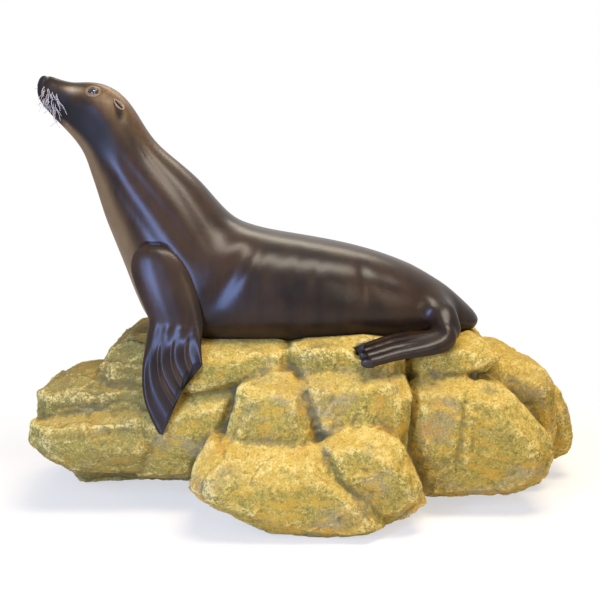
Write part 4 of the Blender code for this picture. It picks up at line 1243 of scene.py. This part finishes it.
def weathering_group(finish):
    """Geometry nodes that chip, pit, crack and ledge a smooth rock along its normals."""
    group = Group("weathered_rock", animal="Object", **{name: "Float" for name in WEATHERING})
    depth = group.geometry.other

    def vector_maths(operation, first, second, output=0):
        return group.add("ShaderNodeVectorMath", {0: first, 1: second}, output, operation=operation)

    def around_zero(colour):
        return vector_maths("SUBTRACT", colour, (0.5, 0.5, 0.5))

    def cells(at, scale, output, **settings):
        return group.add("ShaderNodeTexVoronoi", {"Vector": at, "Scale": scale}, output, **settings)

    place = group.add("GeometryNodeInputPosition")
    wandering = around_zero(group.noise(place, 6.0, 2.0, 0.5, "Color"))
    bent = vector_maths("ADD", place, vector_maths("MULTIPLY", wandering, (0.12, 0.12, 0.12)))

    def facets(scale):
        """Flat chips: each cell of the pattern is a plane tilted its own way."""
        cell = cells(bent, scale, "Color")
        arm = vector_maths("SUBTRACT", bent, cell.other("Position"))
        return vector_maths("DOT_PRODUCT", around_zero(cell), arm, "Value") * 2 * scale

    def noise(scale, detail, roughness=0.5):
        return group.noise(place, scale, detail, roughness) - 0.5

    bands = group.part(bent, "Z") * 21.0
    patchy = noise(3.1, 1.0).between(-0.04, 0.12) * group.part(place, "X").between(-0.45, -0.62)
    crack = cells(bent, 2.6, "Distance", feature="DISTANCE_TO_EDGE").between(0.0, 0.040) - 1.0
    pit = cells(place, 42.0, "Distance").between(0.05, 0.55) - 1.0
    raised = noise(5.5, 2.0) * 2 * depth("lumps")
    raised += facets(8.5) * depth("chips")
    raised += facets(21.0) * depth("flakes")
    raised += (bands.maths("FRACT", bands) - 0.5) * depth("ledges") * patchy
    raised += crack * depth("cracks") * noise(4.3, 1.0).between(0.0, 0.12)
    raised += pit * depth("pits") * noise(7.0, 2.0).between(-0.06, 0.10)
    raised += noise(30.0, 4.0, 0.62) * 2 * depth("roughness")

    animal = group.add("GeometryNodeObjectInfo", {"Object": depth("animal")}, "Geometry")
    near = group.add("GeometryNodeProximity", {"Geometry": animal}, "Distance")
    push = {0: group.add("GeometryNodeInputNormal"), "Scale": raised * near.between(0.002, 0.035)}
    offset = group.add("ShaderNodeVectorMath", push, operation="SCALE")
    moved = group.add("GeometryNodeSetPosition", {"Geometry": group.geometry, "Offset": offset})
    return group.finish(moved, finish)


def keep_clear(points, animal):
    """Points that would lie inside the animal, moved just outside its skin."""
    tree = surface_tree(animal)
    points = points.copy()
    for index in np.flatnonzero(points[:, 2] > 0.28):
        spot, normal, _, distance = tree.find_nearest(Vector(points[index]), 0.05)
        if spot is None:
            continue
        if distance < REACH_OF_SKIN and (Vector(points[index]) - spot).dot(normal) < ROCK_GAP:
            points[index] = spot + normal * ROCK_GAP
    return points


def behind_blades(points, flippers):
    """Rock that would bulge out round a front flipper's blade, moved back to its inner face."""
    points = points.copy()
    turns = turns_round(8)
    steps = [(0.0, 0.0)]
    for reach in SEARCH_CIRCLES:
        steps += zip(np.cos(turns) * reach, np.sin(turns) * reach)
    for (side, _), flipper in zip(SIDES, flippers):
        tree = surface_tree(flipper)
        x, y, z = points.T
        near = (x > -0.66) & (x < -0.33) & (z > 0.26) & (z < 0.70) & (side * y > 0.12)
        for index in np.flatnonzero(near):
            x, y, z = points[index]
            limit = 1.0
            for step_x, step_z in steps:
                start = Vector((x + step_x, 0.02 * side, z + step_z))
                hit = tree.ray_cast(start, Vector((0, side, 0)), 0.6)[0]
                if hit is not None:
                    slope = SEARCH_SLOPE * math.hypot(step_x, step_z)
                    limit = min(limit, side * hit.y - ROCK_GAP + slope)
            if limit < side * y < limit + MOST_MOVED:
                points[index, 1] = side * limit
    return points


def make_rock(animal_parts, flippers, finish):
    """The boulders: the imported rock, rounded, weathered and shaded by how its surface bends."""
    maker = bmesh.new()
    maker.from_mesh(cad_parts["rock_base"].data)
    bmesh.ops.remove_doubles(maker, verts=maker.verts, dist=1e-5)
    rock = wrapped(new_object("boulders", filled(bpy.data.meshes.new("boulders"), maker)), ROCK_CELL)
    mesh = rock.data
    points = relaxed(mesh, get_points(mesh), 2, 0.5)
    set_points(mesh, points)
    x, y, z = points.T
    bend = bulge(mesh, points, 40, 0.6)

    def joint_filled(open_depth, share, most):
        return np.clip(-bend - open_depth, 0, most) * share

    under_block = ease(-0.50, -0.56, x) * ease(0.15, 0.10, z)
    raised = joint_filled(*JOINT_FILL) + joint_filled(*UNDER_BLOCK_FILL) * under_block
    raised += np.clip(bend * BEND_DEEPENED, *DEEPENED_LIMITS)
    lean = CREASE_LEAN * (z - CREASE_Z)
    crease = sum(hump(x, at_x + lean, spread) * depth for at_x, spread, depth in CREASES)
    crease *= ease(0.17, 0.23, z) * (1 - ease(0.39, 0.44, z)) * (y < PLACE[1])
    points = points + get_normals(mesh) * (raised - crease)[:, None]
    points = relaxed(mesh, points, 1, 0.5)
    points[:, 2] = np.maximum(points[:, 2], 0)
    set_points(mesh, points)
    mesh = weathering_group(finish).applied(rock, animal=animal_parts, **WEATHERING).data
    points = get_points(mesh)
    points[:, 2] = np.maximum(points[:, 2], 0)
    points = behind_blades(keep_clear(points, animal_parts), flippers)
    set_points(mesh, points)
    settled = mesh.copy()
    set_points(settled, relaxed(mesh, points, 5, 0.5))
    store(mesh, "up", get_normals(settled)[:, 2])
    bpy.data.meshes.remove(settled)
    bend = bulge(mesh, points, 60, 0.6)
    store(mesh, "edge", ease(*EDGE_BEND, bend) * ease(0.0, 0.03, points[:, 2]))
    store(mesh, "groove", ease(*JOINT_BEND, bend))
    store(mesh, "chip", np.clip(bulge(mesh, points, 4, 0.6) / CHIP_BEND, -1, 1))
    mesh.shade_smooth()
    return rock


def area_light(name, at, aim, size, power, colour):
    lamp = bpy.data.lights.new(name, "AREA")
    lamp.shape = "RECTANGLE"
    lamp.size, lamp.size_y = size
    lamp.energy = power
    lamp.color = colour
    obj = new_object(name, lamp)
    obj.location = at
    obj.rotation_euler = (Vector(aim) - Vector(at)).to_track_quat("-Z", "Y").to_euler()


def seen_directly(tree):
    """1 for the camera and for reflections, which see the plain white studio."""
    seen = ray = tree.add("ShaderNodeLightPath", output="Is Camera Ray")
    for name in ("Is Glossy Ray", "Is Transmission Ray"):
        seen = seen.maths("MAXIMUM", seen, ray.other(name))
    return seen


def make_floor():
    """A pale floor that fades to white away from the statue."""
    maker = bmesh.new()
    bmesh.ops.create_circle(maker, cap_ends=True, segments=96, radius=9.0)
    floor = new_object("floor", filled(bpy.data.meshes.new("floor"), maker))
    paint = Paint("floor_paint")
    spot = {0: paint.place(stretch=(1.0, 1.25, 1.0))}
    away = paint.add("ShaderNodeVectorMath", spot, "Value", operation="LENGTH")
    white = paint.add("ShaderNodeEmission", {"Color": WHITE, "Strength": 1.0})
    plain = paint.add("ShaderNodeBsdfDiffuse", {"Color": FLOOR_WHITE})
    camera_ray = paint.add("ShaderNodeLightPath", output="Is Camera Ray")
    fade = (away.between(1.05, 1.9) * 0.43 + 0.57) * camera_ray
    surface = paint.add("ShaderNodeMixShader", {0: fade, 1: plain, 2: white})
    paint.feed(paint.nodes.nodes["Material Output"].inputs["Surface"], surface)
    painted(floor, paint.material)


def studio():
    """A white floor and background, plain soft lamps, and the camera."""
    scene = bpy.context.scene
    scene.view_settings.view_transform = "Standard"
    world = bpy.data.worlds.new("studio")
    world.use_nodes = True
    scene.world = world
    tree = Tree(world.node_tree)
    sky = world.node_tree.nodes["Background"]
    tree.feed(sky.inputs["Color"], WHITE)
    tree.feed(sky.inputs["Strength"], seen_directly(tree) * (1 - WORLD_LIGHT) + WORLD_LIGHT)
    make_floor()
    for lamp in LAMPS:
        area_light(*lamp)
    lens = bpy.data.cameras.new("camera")
    lens.angle = CAMERA_FIELD
    camera = new_object("camera", lens)
    camera.location = CAMERA_AT
    camera.rotation_euler = CAMERA_TURN
    scene.camera = camera


def dress(piece, slot, *nodes):
    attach(piece, "root")
    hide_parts(*nodes)


# The drawn body before it is smoothed and modelled, on which the solids' eyes and whiskers stand
PLAIN_POSITIONS = np.arange(LAST_ROW * PLAIN_TORSO[0] + 1) / PLAIN_TORSO[0]
PLAIN_HEAD = Skin(body_grid(PLAIN_POSITIONS, PLAIN_TORSO[1]), PLAIN_POSITIONS)


def main():
    studio()
    skin_paint = seal_finish()
    torso = torso_skin(*FINE_TORSO)
    hinds = {side: hind_skin(side, *HIND_LOFT) for side, _ in SIDES}
    skin = make_skin(torso, hinds, skin_paint)

    coarse = torso_skin(*COARSE_TORSO)
    cutter = loft(coarse.grid + grid_normals(coarse.grid) * FLIPPER_GAP, "seam_cutter")
    flippers = [make_flipper(side, word, cutter, skin_paint) for side, word in SIDES]
    bpy.data.objects.remove(cutter)
    sink_seam(skin, flippers)

    group = bristle_group(bristle_finish())
    glass = glass_finish()
    for side, word in SIDES:
        dress(make_eye(word, glass), "eye_glass", f"eye_{word}")
        whiskers = make_whiskers(side, word, group)
        total = WHISKER_ROWS * WHISKERS_IN_ROW
        dress(whiskers, "bristle", *(f"whisker_{word}_{n:02d}" for n in range(1, total + 1)))

    animal = joined("animal_form", [obj.copy() for obj in (skin, *flippers)])
    rock = make_rock(animal, flippers, rock_finish())
    bpy.data.objects.remove(animal)

    dress(skin, "seal_paint", "sea_lion_body")
    for (_, word), flipper in zip(SIDES, flippers):
        dress(flipper, "seal_paint", f"front_flipper_{word}")
    dress(rock, "rock_paint", "rock_base")


main()
